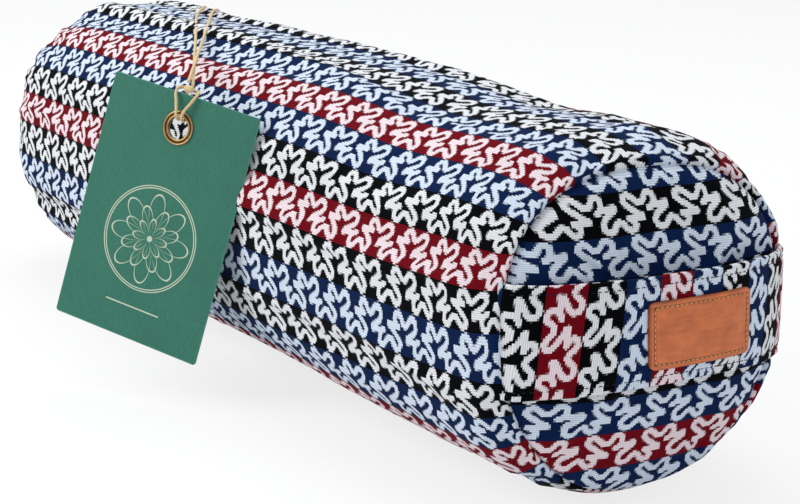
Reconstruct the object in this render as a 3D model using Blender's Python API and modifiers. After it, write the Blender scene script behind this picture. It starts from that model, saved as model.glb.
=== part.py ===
"""Round yoga bolster with a carry handle, a zipped cover and a swing tag.

The bolster lies along X with its carry handle at +X. Its zip is at the back, +Y.
The origin is on the floor, under the middle of the side panel. Sizes are in metres.
"""

import math
from dataclasses import dataclass

import bmesh
import bpy
from mathutils import Matrix, Vector

# Body
SEAM_TO_SEAM = 0.650
BODY_WIDTH = 0.220
BODY_HEIGHT = 0.217
BODY_SQUARENESS = 2.15
BARREL_SWELL = 0.0065
FLOOR_FLAT = 0.0005
COVER_CLOTH = 0.0012
LINER_CLOTH = 0.0008
LAYER_GAP = 0.0004
SEAM_GAP = 0.0004

# Front end, which carries the handle
FRONT_ROUNDING = 0.034
FRONT_SEAM_WIDTH = 0.186
FRONT_SEAM_HEIGHT = 0.174
FRONT_SEAM_RISE = 0.003
FRONT_SQUARENESS = 2.5
FRONT_CROWN = 0.023

# Rear end
REAR_ROUNDING = 0.043
REAR_SEAM_WIDTH = 0.181
REAR_SEAM_HEIGHT = 0.178
REAR_SEAM_RISE = 0.0
REAR_SQUARENESS = 2.2
REAR_CROWN = 0.025
CROWN_FULLNESS = 2.6

# Carry handle and its leather label
HANDLE_WIDTH = 0.062
HANDLE_CLOTH = 0.003
HANDLE_SEAT = 0.0006
HANDLE_FINGER_GAP = 0.0065
HANDLE_RISE = 0.005
HANDLE_END_INSET = 0.0025
HANDLE_BOW = 4
LABEL_WIDTH = 0.069
LABEL_HEIGHT = 0.038
LABEL_LEATHER = 0.0016
LABEL_ASIDE = 0.009
LABEL_DROP = 0.002
LABEL_CORNER = 0.004
LABEL_GAP = 0.0004

# Zip
ZIP_OPENING = 0.400
ZIP_END_MARGIN = 0.022
TAPE_WIDTH = 0.0105
TAPE_CLOTH = 0.0006
TAPE_TUCK = 0.0007
TOOTH_PITCH = 0.004
TOOTH_HEAD = 0.0017
TOOTH_NECK = 0.0011
TOOTH_HEIGHT = 0.0024
TOOTH_OVERLAP = 0.0012
TOOTH_REACH = 0.0041
TOOTH_BEAD = 0.0007
TAPE_GAP = 0.0003
STOP_LENGTH = 0.0035

# Zip slider and pull
SLIDER_LENGTH = 0.013
SLIDER_WALL = 0.0012
SLIDER_GAP = 0.00035
DIVIDER_LENGTH = 0.0035
DIVIDER_WIDTH = 0.002
BRIDGE_LENGTH = 0.0072
BRIDGE_WIDTH = 0.0018
BRIDGE_BAR = 0.0012
BRIDGE_CLEAR = 0.0028
PULL_LENGTH = 0.030
PULL_WIDTH = 0.0085
PULL_TIP_WIDTH = 0.0065
PULL_THICKNESS = 0.0014
PULL_RIM = 0.0016
PULL_SIDE_GAP = 0.0006
PULL_WINDOW = 0.0056

# Swing tag
CARD_WIDTH = 0.113
CARD_HEIGHT = 0.166
CARD_THICKNESS = 0.0008
CARD_CORNER = 0.0015
CARD_YAW = math.radians(30.0)
CARD_LEAN = math.radians(-12.0)
CARD_ROLL = math.radians(10.6)
CARD_GAP = 0.0006
CARD_TOUCH_X = 0.060
CARD_TOUCH_ANGLE = math.radians(164.6)
CARD_TOUCH_DROP = 0.050
EYELET_DROP = 0.0225
EYELET_BORE = 0.0152
EYELET_WALL = 0.0006
EYELET_FLANGE = 0.0225
EYELET_GAP = 0.0003
CORD_DIAMETER = 0.0022
KNOT_DIAMETER = 0.0052
KNOT_LENGTH = 0.0075
KNOT_ABOVE_CARD = 0.0036

# The tag cord's long strands, from the rear seam over the crest and down to the front:
# x in mm, angle round the body in degrees from +Y over the top, height above the cloth in mm.
# After the last point a strand hangs free and runs straight to its place at the knot.
STRAND_LEFT = (
    (-323.0, 43.0, 1.6),
    (-312.0, 48.0, 1.7),
    (-286.0, 58.0, 1.7),
    (-252.0, 70.5, 1.7),
    (-216.0, 82.0, 1.7),
    (-176.0, 94.0, 1.7),
)
STRAND_RIGHT = (
    (-323.0, 37.0, 1.6),
    (-310.0, 42.5, 1.7),
    (-280.0, 53.0, 1.7),
    (-236.0, 69.0, 1.7),
    (-192.0, 84.0, 1.7),
    (-152.0, 95.0, 1.7),
)
# Where each strand ends behind the knot, in mm: along the knot, back from it and up.
STRAND_LEFT_END = (1.2, 3.0, 1.6)
STRAND_RIGHT_END = (-1.2, 1.6, 4.5)
FREE_SHARES = (1 / 3, 2 / 3)

# Half of the hitch in the card's own frame, in mm: from the knot down behind the card,
# through the eyelet, up the front and over the top edge to the middle behind the knot.
HITCH_HALF = (
    (-1.7, 2.2, -3.2),
    (-1.8, 3.2, -7.0),
    (-1.8, 4.0, -13.0),
    (-1.8, 4.0, -17.6),
    (-1.9, 2.2, -20.4),
    (-2.0, -1.6, -20.7),
    (-2.2, -4.2, -17.6),
    (-3.4, -4.0, -13.2),
    (-6.0, -2.6, -7.6),
    (-7.6, -2.2, -3.6),
    (-7.8, -0.4, -0.9),
    (-7.0, 2.2, -0.3),
    (-4.0, 4.1, -0.6),
    (0.0, 4.5, -0.8),
)

# Facets
AROUND = 48
END_STEPS = 3
CROWN_SHARES = (0.8, 0.45)
HANDLE_STEPS = 10
LABEL_STEPS = 14
EYELET_STEPS = 32
KNOT_STEPS = 16
HOLE_STEPS = 12
CORD_STEP = 0.014
HITCH_STEP = 0.005
SMOOTH_ANGLE = math.radians(40.0)
SWELL_TOWARDS = math.radians(135.0)
SINK = 0.0001
WELD = 0.000002

# Places that follow from the sizes above
HALF_LENGTH = SEAM_TO_SEAM / 2
BODY_CENTRE = BODY_HEIGHT / 2 - FLOOR_FLAT
SLOT_END = ZIP_OPENING / 2 + ZIP_END_MARGIN
LINER_INSET = COVER_CLOTH + LAYER_GAP
FILL_INSET = LINER_INSET + LINER_CLOTH + LAYER_GAP
TAPE_INSET = COVER_CLOTH + TAPE_TUCK
ZIP_PLANE = BODY_WIDTH / 2 - TAPE_INSET - TAPE_CLOTH / 2
CHANNEL_HALF = TOOTH_HEIGHT / 2 + SLIDER_GAP
PLATE_TOP = CHANNEL_HALF + SLIDER_WALL
RAIL_INSIDE = TOOTH_REACH + SLIDER_GAP
SLIDER_HALF_WIDTH = RAIL_INSIDE + SLIDER_WALL
SLIDER_PARKED = -ZIP_OPENING / 2 + SLIDER_LENGTH / 2 - DIVIDER_LENGTH - SLIDER_GAP
GROOVE_DEPTH = TAPE_CLOTH / 2 + PLATE_TOP + SLIDER_GAP


@dataclass(frozen=True)
class End:
    """One end of the bolster: its seam and the crown of its round panel."""

    sign: int
    rounding: float
    seam_width: float
    seam_height: float
    seam_rise: float
    squareness: float
    crown: float


FRONT = End(
    sign=1,
    rounding=FRONT_ROUNDING,
    seam_width=FRONT_SEAM_WIDTH,
    seam_height=FRONT_SEAM_HEIGHT,
    seam_rise=FRONT_SEAM_RISE,
    squareness=FRONT_SQUARENESS,
    crown=FRONT_CROWN,
)
REAR = End(
    sign=-1,
    rounding=REAR_ROUNDING,
    seam_width=REAR_SEAM_WIDTH,
    seam_height=REAR_SEAM_HEIGHT,
    seam_rise=REAR_SEAM_RISE,
    squareness=REAR_SQUARENESS,
    crown=REAR_CROWN,
)


def mix(first, second, share):
    """The value that lies the given share of the way from first to second."""
    return first + (second - first) * share


def superellipse(angle, half_width, half_height, squareness):
    """Width and height of a squared oval at an angle counted from +Y towards +Z."""
    power = 2 / squareness
    cosine = math.cos(angle)
    sine = math.sin(angle)
    across = math.copysign(abs(cosine) ** power, cosine) * half_width
    up = math.copysign(abs(sine) ** power, sine) * half_height
    return across, up


def crown_height(end, share):
    """How far the round end panel stands out, at a share of its radius."""
    return end.crown * (1 - share**CROWN_FULLNESS)


def swell_drop(x, angle):
    """How much the barrelled front and top draw in at x. The zip and the underside stay straight."""
    towards = (0.5 + 0.5 * math.cos(angle - SWELL_TOWARDS)) ** 2
    return BARREL_SWELL * (x / HALF_LENGTH) ** 2 * towards


def body_point(end, along, angle, inset=0.0):
    """A point of the bolster's skin, or of a layer that lies inset below it.

    along is 0 at mid length, 1 where the end starts to round, 2 at the seam and 3 at the crown's pole.
    """
    length = HALF_LENGTH - inset
    straight = length - end.rounding
    turn = min(max(along - 1, 0), 1) * math.pi / 2
    seam_share = 1 - math.cos(turn)
    radius_share = min(1, 3 - along)
    x = min(along, 1) * straight + end.rounding * math.sin(turn)
    if along > 2:
        x += crown_height(end, radius_share)
    drop = swell_drop(x, angle)
    body_y, body_z = superellipse(
        angle, BODY_WIDTH / 2 - inset - drop, BODY_HEIGHT / 2 - inset - drop, BODY_SQUARENESS
    )
    seam_y, seam_z = superellipse(
        angle, end.seam_width / 2 - inset, end.seam_height / 2 - inset, end.squareness
    )
    y = mix(body_y, seam_y, seam_share) * radius_share
    z = mix(body_z, seam_z, seam_share) * radius_share + end.seam_rise * seam_share
    return Vector((end.sign * x, y, max(BODY_CENTRE + z, inset)))


def skin_point(x, angle, inset=0.0):
    """A point of the side panel by its x."""
    end = FRONT if x >= 0 else REAR
    straight = HALF_LENGTH - inset - end.rounding
    if abs(x) <= straight:
        return body_point(end, abs(x) / straight, angle, inset)
    turn = math.asin(min(1, (abs(x) - straight) / end.rounding))
    return body_point(end, 1 + turn / (math.pi / 2), angle, inset)


def skin_normal(x, angle):
    """The outward direction of the side panel at a point."""
    step = 0.001
    along = skin_point(x + step, angle) - skin_point(x - step, angle)
    around = skin_point(x, angle + step) - skin_point(x, angle - step)
    return around.cross(along).normalized()


def ring(end, along, inset=0.0):
    """One closed ring of skin points."""
    step = 2 * math.pi / AROUND
    return [body_point(end, along, (index + 0.5) * step, inset) for index in range(AROUND)]


def smooth_route(points, step):
    """Points about a step apart on a smooth curve through the route's own points."""
    ends = [2 * points[0] - points[1], *points, 2 * points[-1] - points[-2]]
    dense = []
    for before, start, stop, after in zip(ends, ends[1:], ends[2:], ends[3:]):
        for index in range(16):
            t = index / 16
            dense.append(
                0.5
                * (
                    2 * start
                    + (stop - before) * t
                    + (2 * before - 5 * start + 4 * stop - after) * t**2
                    + (3 * start - before - 3 * stop + after) * t**3
                )
            )
    dense.append(points[-1])
    lengths = [0.0]
    for first, second in zip(dense, dense[1:]):
        lengths.append(lengths[-1] + (second - first).length)
    count = max(2, round(lengths[-1] / step))
    route = []
    index = 0
    for number in range(count + 1):
        wanted = lengths[-1] * number / count
        while index < len(dense) - 2 and lengths[index + 1] < wanted:
            index += 1
        share = (wanted - lengths[index]) / (lengths[index + 1] - lengths[index])
        route.append(dense[index].lerp(dense[index + 1], share))
    return route


def clear_scene():
    """Starts from an empty scene."""
    for thing in list(bpy.data.objects):
        bpy.data.objects.remove(thing, do_unlink=True)


def new_collection(name):
    """A collection linked to the scene."""
    collection = bpy.data.collections.new(name)
    bpy.context.scene.collection.children.link(collection)
    return collection


def new_material(name, colour, roughness, metallic=0.0):
    """A Principled material. The colour is given as it shows on a screen, from 0 to 255."""
    material = bpy.data.materials.new(name)
    material.use_nodes = True
    shader = material.node_tree.nodes["Principled BSDF"]
    linear = [(value / 255) ** 2.2 for value in colour]
    shader.inputs["Base Color"].default_value = (*linear, 1.0)
    shader.inputs["Roughness"].default_value = roughness
    shader.inputs["Metallic"].default_value = metallic
    material.diffuse_color = (*linear, 1.0)
    return material


def add_object(name, mesh, material, collection):
    """Puts a mesh in the scene as a named object, with smooth round faces."""
    thing = bpy.data.objects.new(name, mesh)
    collection.objects.link(thing)
    if material:
        mesh.materials.clear()
        mesh.materials.append(material)
    mesh.shade_smooth()
    mesh.set_sharp_from_angle(angle=SMOOTH_ANGLE)
    return thing


def mesh_from(name, shape):
    """Turns a bmesh into a mesh and frees it."""
    mesh = bpy.data.meshes.new(name)
    shape.to_mesh(mesh)
    shape.free()
    return mesh


def loft(name, rows, closed=True, first_pole=None, last_pole=None):
    """A skin over rows of points. Closed rows are rings, and a pole shuts an end with a fan."""
    shape = bmesh.new()
    grid = [[shape.verts.new(point) for point in row] for row in rows]
    count = len(rows[0])
    pairs = [(index, (index + 1) % count) for index in range(count if closed else count - 1)]
    for row, following in zip(grid, grid[1:]):
        for here, there in pairs:
            shape.faces.new((row[here], row[there], following[there], following[here]))
    if first_pole:
        pole = shape.verts.new(first_pole)
        for here, there in pairs:
            shape.faces.new((pole, grid[0][there], grid[0][here]))
    if last_pole:
        pole = shape.verts.new(last_pole)
        for here, there in pairs:
            shape.faces.new((grid[-1][here], grid[-1][there], pole))
    return mesh_from(name, shape)


def give_thickness(thing, thickness, outward=False):
    """Makes cloth of an open skin. It keeps the skin's own side and grows to the other."""
    modifier = thing.modifiers.new("cloth", "SOLIDIFY")
    modifier.thickness = thickness
    modifier.offset = 1.0 if outward else -1.0
    modifier.use_even_offset = True


def plate_mesh(name, outlines, thickness):
    """A flat sheet with the given outline and holes, centred on its own XY plane."""
    curve = bpy.data.curves.new(name, "CURVE")
    curve.dimensions = "2D"
    curve.fill_mode = "BOTH"
    curve.extrude = thickness / 2
    for outline in outlines:
        spline = curve.splines.new("POLY")
        spline.points.add(len(outline) - 1)
        for point, (x, y) in zip(spline.points, outline):
            point.co = (x, y, 0, 1)
        spline.use_cyclic_u = True
    return mesh_of_curve(name, curve)


def mesh_of_curve(name, curve):
    """The closed mesh of a curve, with its caps welded on."""
    holder = bpy.data.objects.new(name + "_curve", curve)
    bpy.context.scene.collection.objects.link(holder)
    graph = bpy.context.evaluated_depsgraph_get()
    mesh = bpy.data.meshes.new_from_object(holder.evaluated_get(graph))
    mesh.name = name
    shape = bmesh.new()
    shape.from_mesh(mesh)
    bmesh.ops.remove_doubles(shape, verts=shape.verts, dist=WELD)
    bmesh.ops.recalc_face_normals(shape, faces=shape.faces)
    shape.to_mesh(mesh)
    shape.free()
    bpy.data.objects.remove(holder, do_unlink=True)
    bpy.data.curves.remove(curve)
    return mesh


def cord_mesh(name, points, diameter):
    """A cord along points, with flat ends."""
    curve = bpy.data.curves.new(name, "CURVE")
    curve.dimensions = "3D"
    curve.bevel_depth = diameter / 2
    curve.bevel_resolution = 2
    curve.use_fill_caps = True
    spline = curve.splines.new("POLY")
    spline.points.add(len(points) - 1)
    for point, place in zip(spline.points, points):
        point.co = (*place, 1)
    return mesh_of_curve(name, curve)


def turned_object(name, profile, steps, material, collection):
    """A turned ring. Its closed profile at +X is listed down the outer side and up the inner."""
    shape = bmesh.new()
    corners = [shape.verts.new((radius, 0, height)) for radius, height in profile]
    for first, second in zip(corners, corners[1:] + corners[:1]):
        shape.edges.new((first, second))
    thing = add_object(name, mesh_from(name, shape), material, collection)
    screw = thing.modifiers.new("turn", "SCREW")
    screw.axis = "Z"
    screw.angle = 2 * math.pi
    screw.steps = steps
    screw.render_steps = steps
    screw.use_merge_vertices = True
    screw.merge_threshold = WELD
    screw.use_smooth_shade = True
    return thing


def circle_outline(radius, centre, count):
    """Points of a circle in a plane."""
    return [
        (
            centre[0] + radius * math.cos(2 * math.pi * index / count),
            centre[1] + radius * math.sin(2 * math.pi * index / count),
        )
        for index in range(count)
    ]


def box_outline(low_x, high_x, low_y, high_y):
    """Corners of a rectangle in a plane."""
    return [(low_x, low_y), (high_x, low_y), (high_x, high_y), (low_x, high_y)]


def join_on(thing, other, cutters):
    """Makes other one body with thing."""
    modifier = thing.modifiers.new("join_" + other.name, "BOOLEAN")
    modifier.operation = "UNION"
    modifier.object = other
    other.hide_render = True
    other.display_type = "WIRE"
    for collection in list(other.users_collection):
        collection.objects.unlink(other)
    cutters.objects.link(other)


class Bolster:
    """Builds the pieces into one collection, from the inside out."""

    def __init__(self):
        self.parts = new_collection("yoga_bolster")
        self.cutters = new_collection("joined_shapes")
        self.jacquard = new_material("jacquard_cotton", (70, 76, 105), 0.9)
        self.cotton = new_material("plain_cotton", (226, 220, 205), 0.9)
        self.husk = new_material("spelt_husk", (201, 170, 112), 0.95)
        self.leather = new_material("tan_leather", (188, 104, 64), 0.55)
        self.tape = new_material("zip_tape", (22, 24, 34), 0.85)
        self.acetal = new_material("zip_teeth", (28, 30, 40), 0.4)
        self.nickel = new_material("zip_metal", (190, 190, 188), 0.3, 1.0)
        self.card = new_material("green_card", (48, 118, 96), 0.8)
        self.brass = new_material("eyelet_brass", (176, 140, 78), 0.35, 1.0)
        self.cord = new_material("gold_cord", (214, 186, 128), 0.7)

    def add(self, name, mesh, material):
        """Adds one named piece."""
        return add_object(name, mesh, material, self.parts)

    def add_plate(self, name, outlines, thickness, material):
        """Adds a flat piece."""
        return self.add(name, plate_mesh(name, outlines, thickness), material)

    def side_rings(self, inset=0.0):
        """Rings of the side panel from the rear seam to the front one."""
        rings = [ring(REAR, 2 - step / END_STEPS, inset) for step in range(END_STEPS + 1)]
        for share in (-1, -1 / 3, 1 / 3, 1):
            end = FRONT if share > 0 else REAR
            straight = HALF_LENGTH - inset - end.rounding
            rings.append(ring(end, abs(share) * SLOT_END / straight, inset))
        rings += [ring(FRONT, 1 + step / END_STEPS, inset) for step in range(END_STEPS + 1)]
        return rings

    def grooved(self, rings):
        """Presses a groove into an inner layer behind the zip, so that the slider runs free."""
        for row in rings:
            if abs(row[0].x) < SLOT_END + SINK:
                row[0].y -= GROOVE_DEPTH
                row[-1].y -= GROOVE_DEPTH
        return rings

    def crown_rings(self, end, inset):
        """Rings of a round end panel, from near its rim inwards."""
        return [ring(end, 3 - share, inset) for share in CROWN_SHARES]

    def end_panel(self, name, end, inset, cloth, material):
        """A domed round panel of cloth."""
        rim = 1 - SEAM_GAP / (end.seam_height / 2)
        rings = [ring(end, 3 - rim, inset), *self.crown_rings(end, inset)]
        pole = body_point(end, 3, 0.0, inset)
        if end.sign > 0:
            mesh = loft(name, rings, last_pole=pole)
        else:
            mesh = loft(name, rings[::-1], first_pole=pole)
        give_thickness(self.add(name, mesh, material), cloth)

    def build_inner_case(self):
        """The husk filling and the plain cotton case that holds it."""
        side = loft("liner_side_panel", self.grooved(self.side_rings(LINER_INSET)))
        give_thickness(self.add("liner_side_panel", side, self.cotton), LINER_CLOTH)
        self.end_panel("liner_end_front", FRONT, LINER_INSET, LINER_CLOTH, self.cotton)
        self.end_panel("liner_end_rear", REAR, LINER_INSET, LINER_CLOTH, self.cotton)
        rear = self.crown_rings(REAR, FILL_INSET)[::-1]
        middle = self.grooved(self.side_rings(FILL_INSET))
        front = self.crown_rings(FRONT, FILL_INSET)
        fill = loft(
            "husk_fill",
            rear + middle + front,
            first_pole=body_point(REAR, 3, 0.0, FILL_INSET),
            last_pole=body_point(FRONT, 3, 0.0, FILL_INSET),
        )
        self.add("husk_fill", fill, self.husk)

    def build_cover(self):
        """The jacquard cover: a side panel with the zip's slot, and two round end panels."""
        rings = self.side_rings()
        mesh = loft("cover_side_panel", rings)
        shape = bmesh.new()
        shape.from_mesh(mesh)
        shape.faces.ensure_lookup_table()
        behind = AROUND - 1
        rows = [row for row, points in enumerate(rings[1:]) if abs(rings[row][0].x) < SLOT_END + SINK]
        slot = [shape.faces[row * AROUND + behind] for row in rows[:-1]]
        bmesh.ops.delete(shape, geom=slot, context="FACES")
        shape.to_mesh(mesh)
        shape.free()
        give_thickness(self.add("cover_side_panel", mesh, self.jacquard), COVER_CLOTH)
        self.end_panel("cover_end_front", FRONT, 0.0, COVER_CLOTH, self.jacquard)
        self.end_panel("cover_end_rear", REAR, 0.0, COVER_CLOTH, self.jacquard)

    def handle_half(self):
        """Half the handle's reach across the front seam."""
        return FRONT_SEAM_WIDTH / 2 - HANDLE_END_INSET

    def handle_point(self, across, up, lift=0.0):
        """A point of the handle's inner face, or one lifted off it. across is along Y from the middle."""
        share = min(1, abs(across) / self.handle_half())
        panel = crown_height(FRONT, abs(across) / (FRONT_SEAM_WIDTH / 2))
        x = HALF_LENGTH + panel + HANDLE_SEAT + HANDLE_FINGER_GAP * (1 - share**HANDLE_BOW)
        rise = HANDLE_RISE * (1 - share**2)
        point = Vector((x, across, BODY_CENTRE + FRONT_SEAM_RISE + rise + up))
        if lift:
            step = 0.001
            along = self.handle_point(across + step, 0) - self.handle_point(across - step, 0)
            point += Vector((along.y, -along.x, 0)).normalized() * lift
        return point

    def build_handle(self):
        """The carry handle, a doubled strap whose ends are caught in the front seam."""
        columns = [
            self.handle_half() * math.sin(math.pi / 2 * index / HANDLE_STEPS)
            for index in range(-HANDLE_STEPS, HANDLE_STEPS + 1)
        ]
        levels = [HANDLE_WIDTH * share for share in (-0.5, -0.45, 0.0, 0.45, 0.5)]
        rows = [[self.handle_point(across, up) for across in columns] for up in levels]
        handle = self.add("carry_handle", loft("carry_handle", rows, closed=False), self.jacquard)
        give_thickness(handle, HANDLE_CLOTH, outward=True)

    def build_label(self):
        """The bare leather label sewn on the handle, with rounded corners."""
        middle = self.handle_point(LABEL_ASIDE, 0).z - LABEL_DROP
        shape = bmesh.new()
        bmesh.ops.create_grid(shape, x_segments=LABEL_STEPS, y_segments=LABEL_STEPS // 2, size=0.5)
        for vertex in shape.verts:
            across = vertex.co.x * LABEL_WIDTH
            up = vertex.co.y * LABEL_HEIGHT
            past_side = max(0, abs(across) - (LABEL_WIDTH / 2 - LABEL_CORNER))
            past_end = max(0, abs(up) - (LABEL_HEIGHT / 2 - LABEL_CORNER))
            reach = math.hypot(past_side, past_end)
            if reach > LABEL_CORNER:
                cut = 1 - LABEL_CORNER / reach
                across -= math.copysign(past_side * cut, across)
                up -= math.copysign(past_end * cut, up)
            place = self.handle_point(LABEL_ASIDE + across, 0, HANDLE_CLOTH + LABEL_GAP)
            vertex.co = (place.x, place.y, middle + up)
        label = self.add("handle_label", mesh_from("handle_label", shape), self.leather)
        give_thickness(label, LABEL_LEATHER, outward=True)

    def back_angle(self, height):
        """The angle at which the skin at the back stands a height above the zip's line."""
        sine = (abs(height) / (BODY_HEIGHT / 2)) ** (BODY_SQUARENESS / 2)
        return math.copysign(math.asin(sine), height)

    def on_zip(self, thing, x=0.0, out=0.0):
        """Lays a flat piece drawn in X and height on the zip's line at the back."""
        thing.rotation_euler = (math.pi / 2, 0, 0)
        thing.location = (x, ZIP_PLANE + out, BODY_CENTRE)
        return thing

    def build_tape(self, name, side):
        """One zip tape, sewn behind the edge of the side panel."""
        inner = TOOTH_REACH + TAPE_GAP
        heights = sorted(side * (inner + TAPE_WIDTH * share) for share in (0.0, 0.5, 1.0))
        rows = [
            [skin_point(SLOT_END * share, self.back_angle(height), TAPE_INSET) for height in heights]
            for share in (-1.0, -0.5, 0.0, 0.5, 1.0)
        ]
        give_thickness(self.add(name, loft(name, rows, closed=False), self.tape), TAPE_CLOTH)

    def build_teeth(self, name, side, first):
        """One row of teeth on its moulded bead. The two rows mesh half a pitch apart."""
        start = -ZIP_OPENING / 2
        count = int((ZIP_OPENING - first - TOOTH_HEAD / 2) / TOOTH_PITCH) + 1
        root = side * (TOOTH_REACH - TOOTH_BEAD)
        outside = side * TOOTH_REACH
        tip = -side * TOOTH_OVERLAP / 2
        outline = [(start, outside), (-start, outside), (-start, root)]
        for number in reversed(range(count)):
            x = start + first + number * TOOTH_PITCH
            outline += [
                (x + TOOTH_NECK / 2, root),
                (x + TOOTH_HEAD / 2, tip),
                (x - TOOTH_HEAD / 2, tip),
                (x - TOOTH_NECK / 2, root),
            ]
        outline.append((start, root))
        self.on_zip(self.add_plate(name, [outline], TOOTH_HEIGHT, self.acetal))

    def build_stops(self):
        """The two top stops by the closed slider and the bottom stop at the other end of the teeth."""
        high = SLIDER_PARKED - SLIDER_LENGTH / 2 - SEAM_GAP
        for name, side in (("zip_top_stop_upper", 1), ("zip_top_stop_lower", -1)):
            edges = sorted((side * TOOTH_BEAD, side * TOOTH_REACH))
            outline = box_outline(high - STOP_LENGTH, high, *edges)
            self.on_zip(self.add_plate(name, [outline], TOOTH_HEIGHT, self.nickel))
        low = ZIP_OPENING / 2 + SEAM_GAP
        outline = box_outline(low, low + STOP_LENGTH, -TOOTH_REACH, TOOTH_REACH)
        self.on_zip(self.add_plate("zip_bottom_stop", [outline], TOOTH_HEIGHT, self.nickel))

    def slider_outline(self):
        """A slider plate: a narrow nose, full shoulders and a slightly drawn-in tail."""
        nose = -SLIDER_LENGTH / 2
        tail = SLIDER_LENGTH / 2
        half = SLIDER_HALF_WIDTH
        side = [
            (nose, half * 0.45),
            (nose + SLIDER_LENGTH * 0.08, half * 0.72),
            (nose + SLIDER_LENGTH * 0.25, half * 0.96),
            (nose + SLIDER_LENGTH * 0.40, half),
            (tail - SLIDER_LENGTH * 0.10, half),
            (tail, half - SLIDER_WALL / 2),
        ]
        return side + [(x, -y) for x, y in reversed(side)]

    def slider_rails(self):
        """The four rails that hold the teeth in, with a slit for the tape between each two."""
        start = -SLIDER_LENGTH * 0.08
        stop = SLIDER_LENGTH * 0.38
        bottom = TAPE_CLOTH / 2 + SLIDER_GAP
        top = CHANNEL_HALF + SLIDER_WALL / 2
        rails = []
        for number, (side, face) in enumerate(((1, 1), (1, -1), (-1, 1), (-1, -1))):
            edges = sorted((side * RAIL_INSIDE, side * (SLIDER_HALF_WIDTH - SINK)))
            outline = box_outline(start, stop, *edges)
            rail = self.add_plate(f"slider_rail_{number}", [outline], top - bottom, self.nickel)
            rails.append(self.on_zip(rail, SLIDER_PARKED, face * (top + bottom) / 2))
        return rails

    def slider_bridge(self):
        """The arch on the outer plate that holds the pull."""
        half = BRIDGE_LENGTH / 2
        inside = half - BRIDGE_BAR
        top = BRIDGE_CLEAR + BRIDGE_BAR
        sink = SLIDER_WALL / 2
        side = [
            (half, -sink),
            (half, top / 2),
            (inside, top),
        ]
        under = [
            (inside, -sink),
            (inside, BRIDGE_CLEAR),
        ]
        outline = [(-x, y) for x, y in side] + side[::-1] + under + [(-x, y) for x, y in under[::-1]]
        bridge = self.add_plate("slider_bridge", [outline], BRIDGE_WIDTH, self.nickel)
        bridge.location = (SLIDER_PARKED, ZIP_PLANE + PLATE_TOP, BODY_CENTRE)
        return bridge

    def build_slider(self):
        """The slider: two plates on a divider, rails round the teeth, and a bridge for the pull."""
        plate_out = CHANNEL_HALF + SLIDER_WALL / 2
        outline = self.slider_outline()
        slider = self.add_plate("zip_slider", [outline], SLIDER_WALL, self.nickel)
        self.on_zip(slider, SLIDER_PARKED, plate_out)
        under = self.add_plate("slider_under_plate", [outline], SLIDER_WALL, self.nickel)
        self.on_zip(under, SLIDER_PARKED, -plate_out)
        nose = -SLIDER_LENGTH / 2
        narrow = DIVIDER_WIDTH * 0.2
        wide = DIVIDER_WIDTH / 2
        wedge = [
            (nose + SINK, -narrow),
            (nose + DIVIDER_LENGTH, -wide),
            (nose + DIVIDER_LENGTH, wide),
            (nose + SINK, narrow),
        ]
        divider = self.add_plate("slider_divider", [wedge], 2 * plate_out, self.nickel)
        self.on_zip(divider, SLIDER_PARKED)
        for other in (divider, *self.slider_rails(), self.slider_bridge(), under):
            join_on(slider, other, self.cutters)

    def build_pull(self):
        """The pull, a frame whose end bar runs under the slider's bridge."""
        bar = PULL_RIM / 2
        half = PULL_WIDTH / 2
        tip_half = PULL_TIP_WIDTH / 2
        shoulder = PULL_WINDOW + 2 * PULL_RIM
        side = [
            (-bar, half - PULL_RIM),
            (PULL_RIM - bar, half),
            (shoulder, half),
            (PULL_LENGTH - tip_half, tip_half),
            (PULL_LENGTH - tip_half * 0.3, tip_half * 0.7),
        ]
        outline = side + [(PULL_LENGTH, 0.0)] + [(x, -y) for x, y in reversed(side)]
        window_half = BRIDGE_WIDTH / 2 + PULL_SIDE_GAP
        window = box_outline(bar, bar + PULL_WINDOW, -window_half, window_half)
        hole = circle_outline(tip_half * 0.45, (PULL_LENGTH - tip_half, 0.0), HOLE_STEPS)
        pull = self.add_plate("zip_pull", [outline, window, hole], PULL_THICKNESS, self.nickel)
        self.on_zip(pull, SLIDER_PARKED, PLATE_TOP + BRIDGE_CLEAR / 2)

    def build_zip(self):
        """The whole zip, with the slider parked at the closed end."""
        self.build_tape("zip_tape_upper", 1)
        self.build_tape("zip_tape_lower", -1)
        self.build_teeth("zip_teeth_upper", 1, TOOTH_PITCH / 4)
        self.build_teeth("zip_teeth_lower", -1, TOOTH_PITCH * 3 / 4)
        self.build_stops()
        self.build_slider()
        self.build_pull()

    def tag_frame(self):
        """Where the card hangs. Its own X runs across the card and Z up, with the knot at the origin."""
        turn = (
            Matrix.Rotation(CARD_YAW, 4, "Z")
            @ Matrix.Rotation(CARD_LEAN, 4, "X")
            @ Matrix.Rotation(CARD_ROLL, 4, "Y")
        )
        touch = skin_point(CARD_TOUCH_X, CARD_TOUCH_ANGLE)
        touch += skin_normal(CARD_TOUCH_X, CARD_TOUCH_ANGLE) * CARD_GAP
        edge = Vector((CARD_WIDTH / 2, CARD_THICKNESS / 2, -KNOT_ABOVE_CARD - CARD_TOUCH_DROP))
        return Matrix.Translation(touch - turn @ edge) @ turn

    def knot_frame(self):
        """The knot's own frame: X along the hinge axis, Y back from it and Z up."""
        return Matrix.Translation(self.tag_frame().translation) @ Matrix.Rotation(CARD_YAW, 4, "Z")

    def card_outline(self):
        """The card's outline, with its corners taken off."""
        half = CARD_WIDTH / 2
        top = -KNOT_ABOVE_CARD
        foot = top - CARD_HEIGHT
        side = [
            (half - CARD_CORNER, foot),
            (half, foot + CARD_CORNER),
            (half, top - CARD_CORNER),
            (half - CARD_CORNER, top),
        ]
        return side + [(-x, y) for x, y in reversed(side)]

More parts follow.
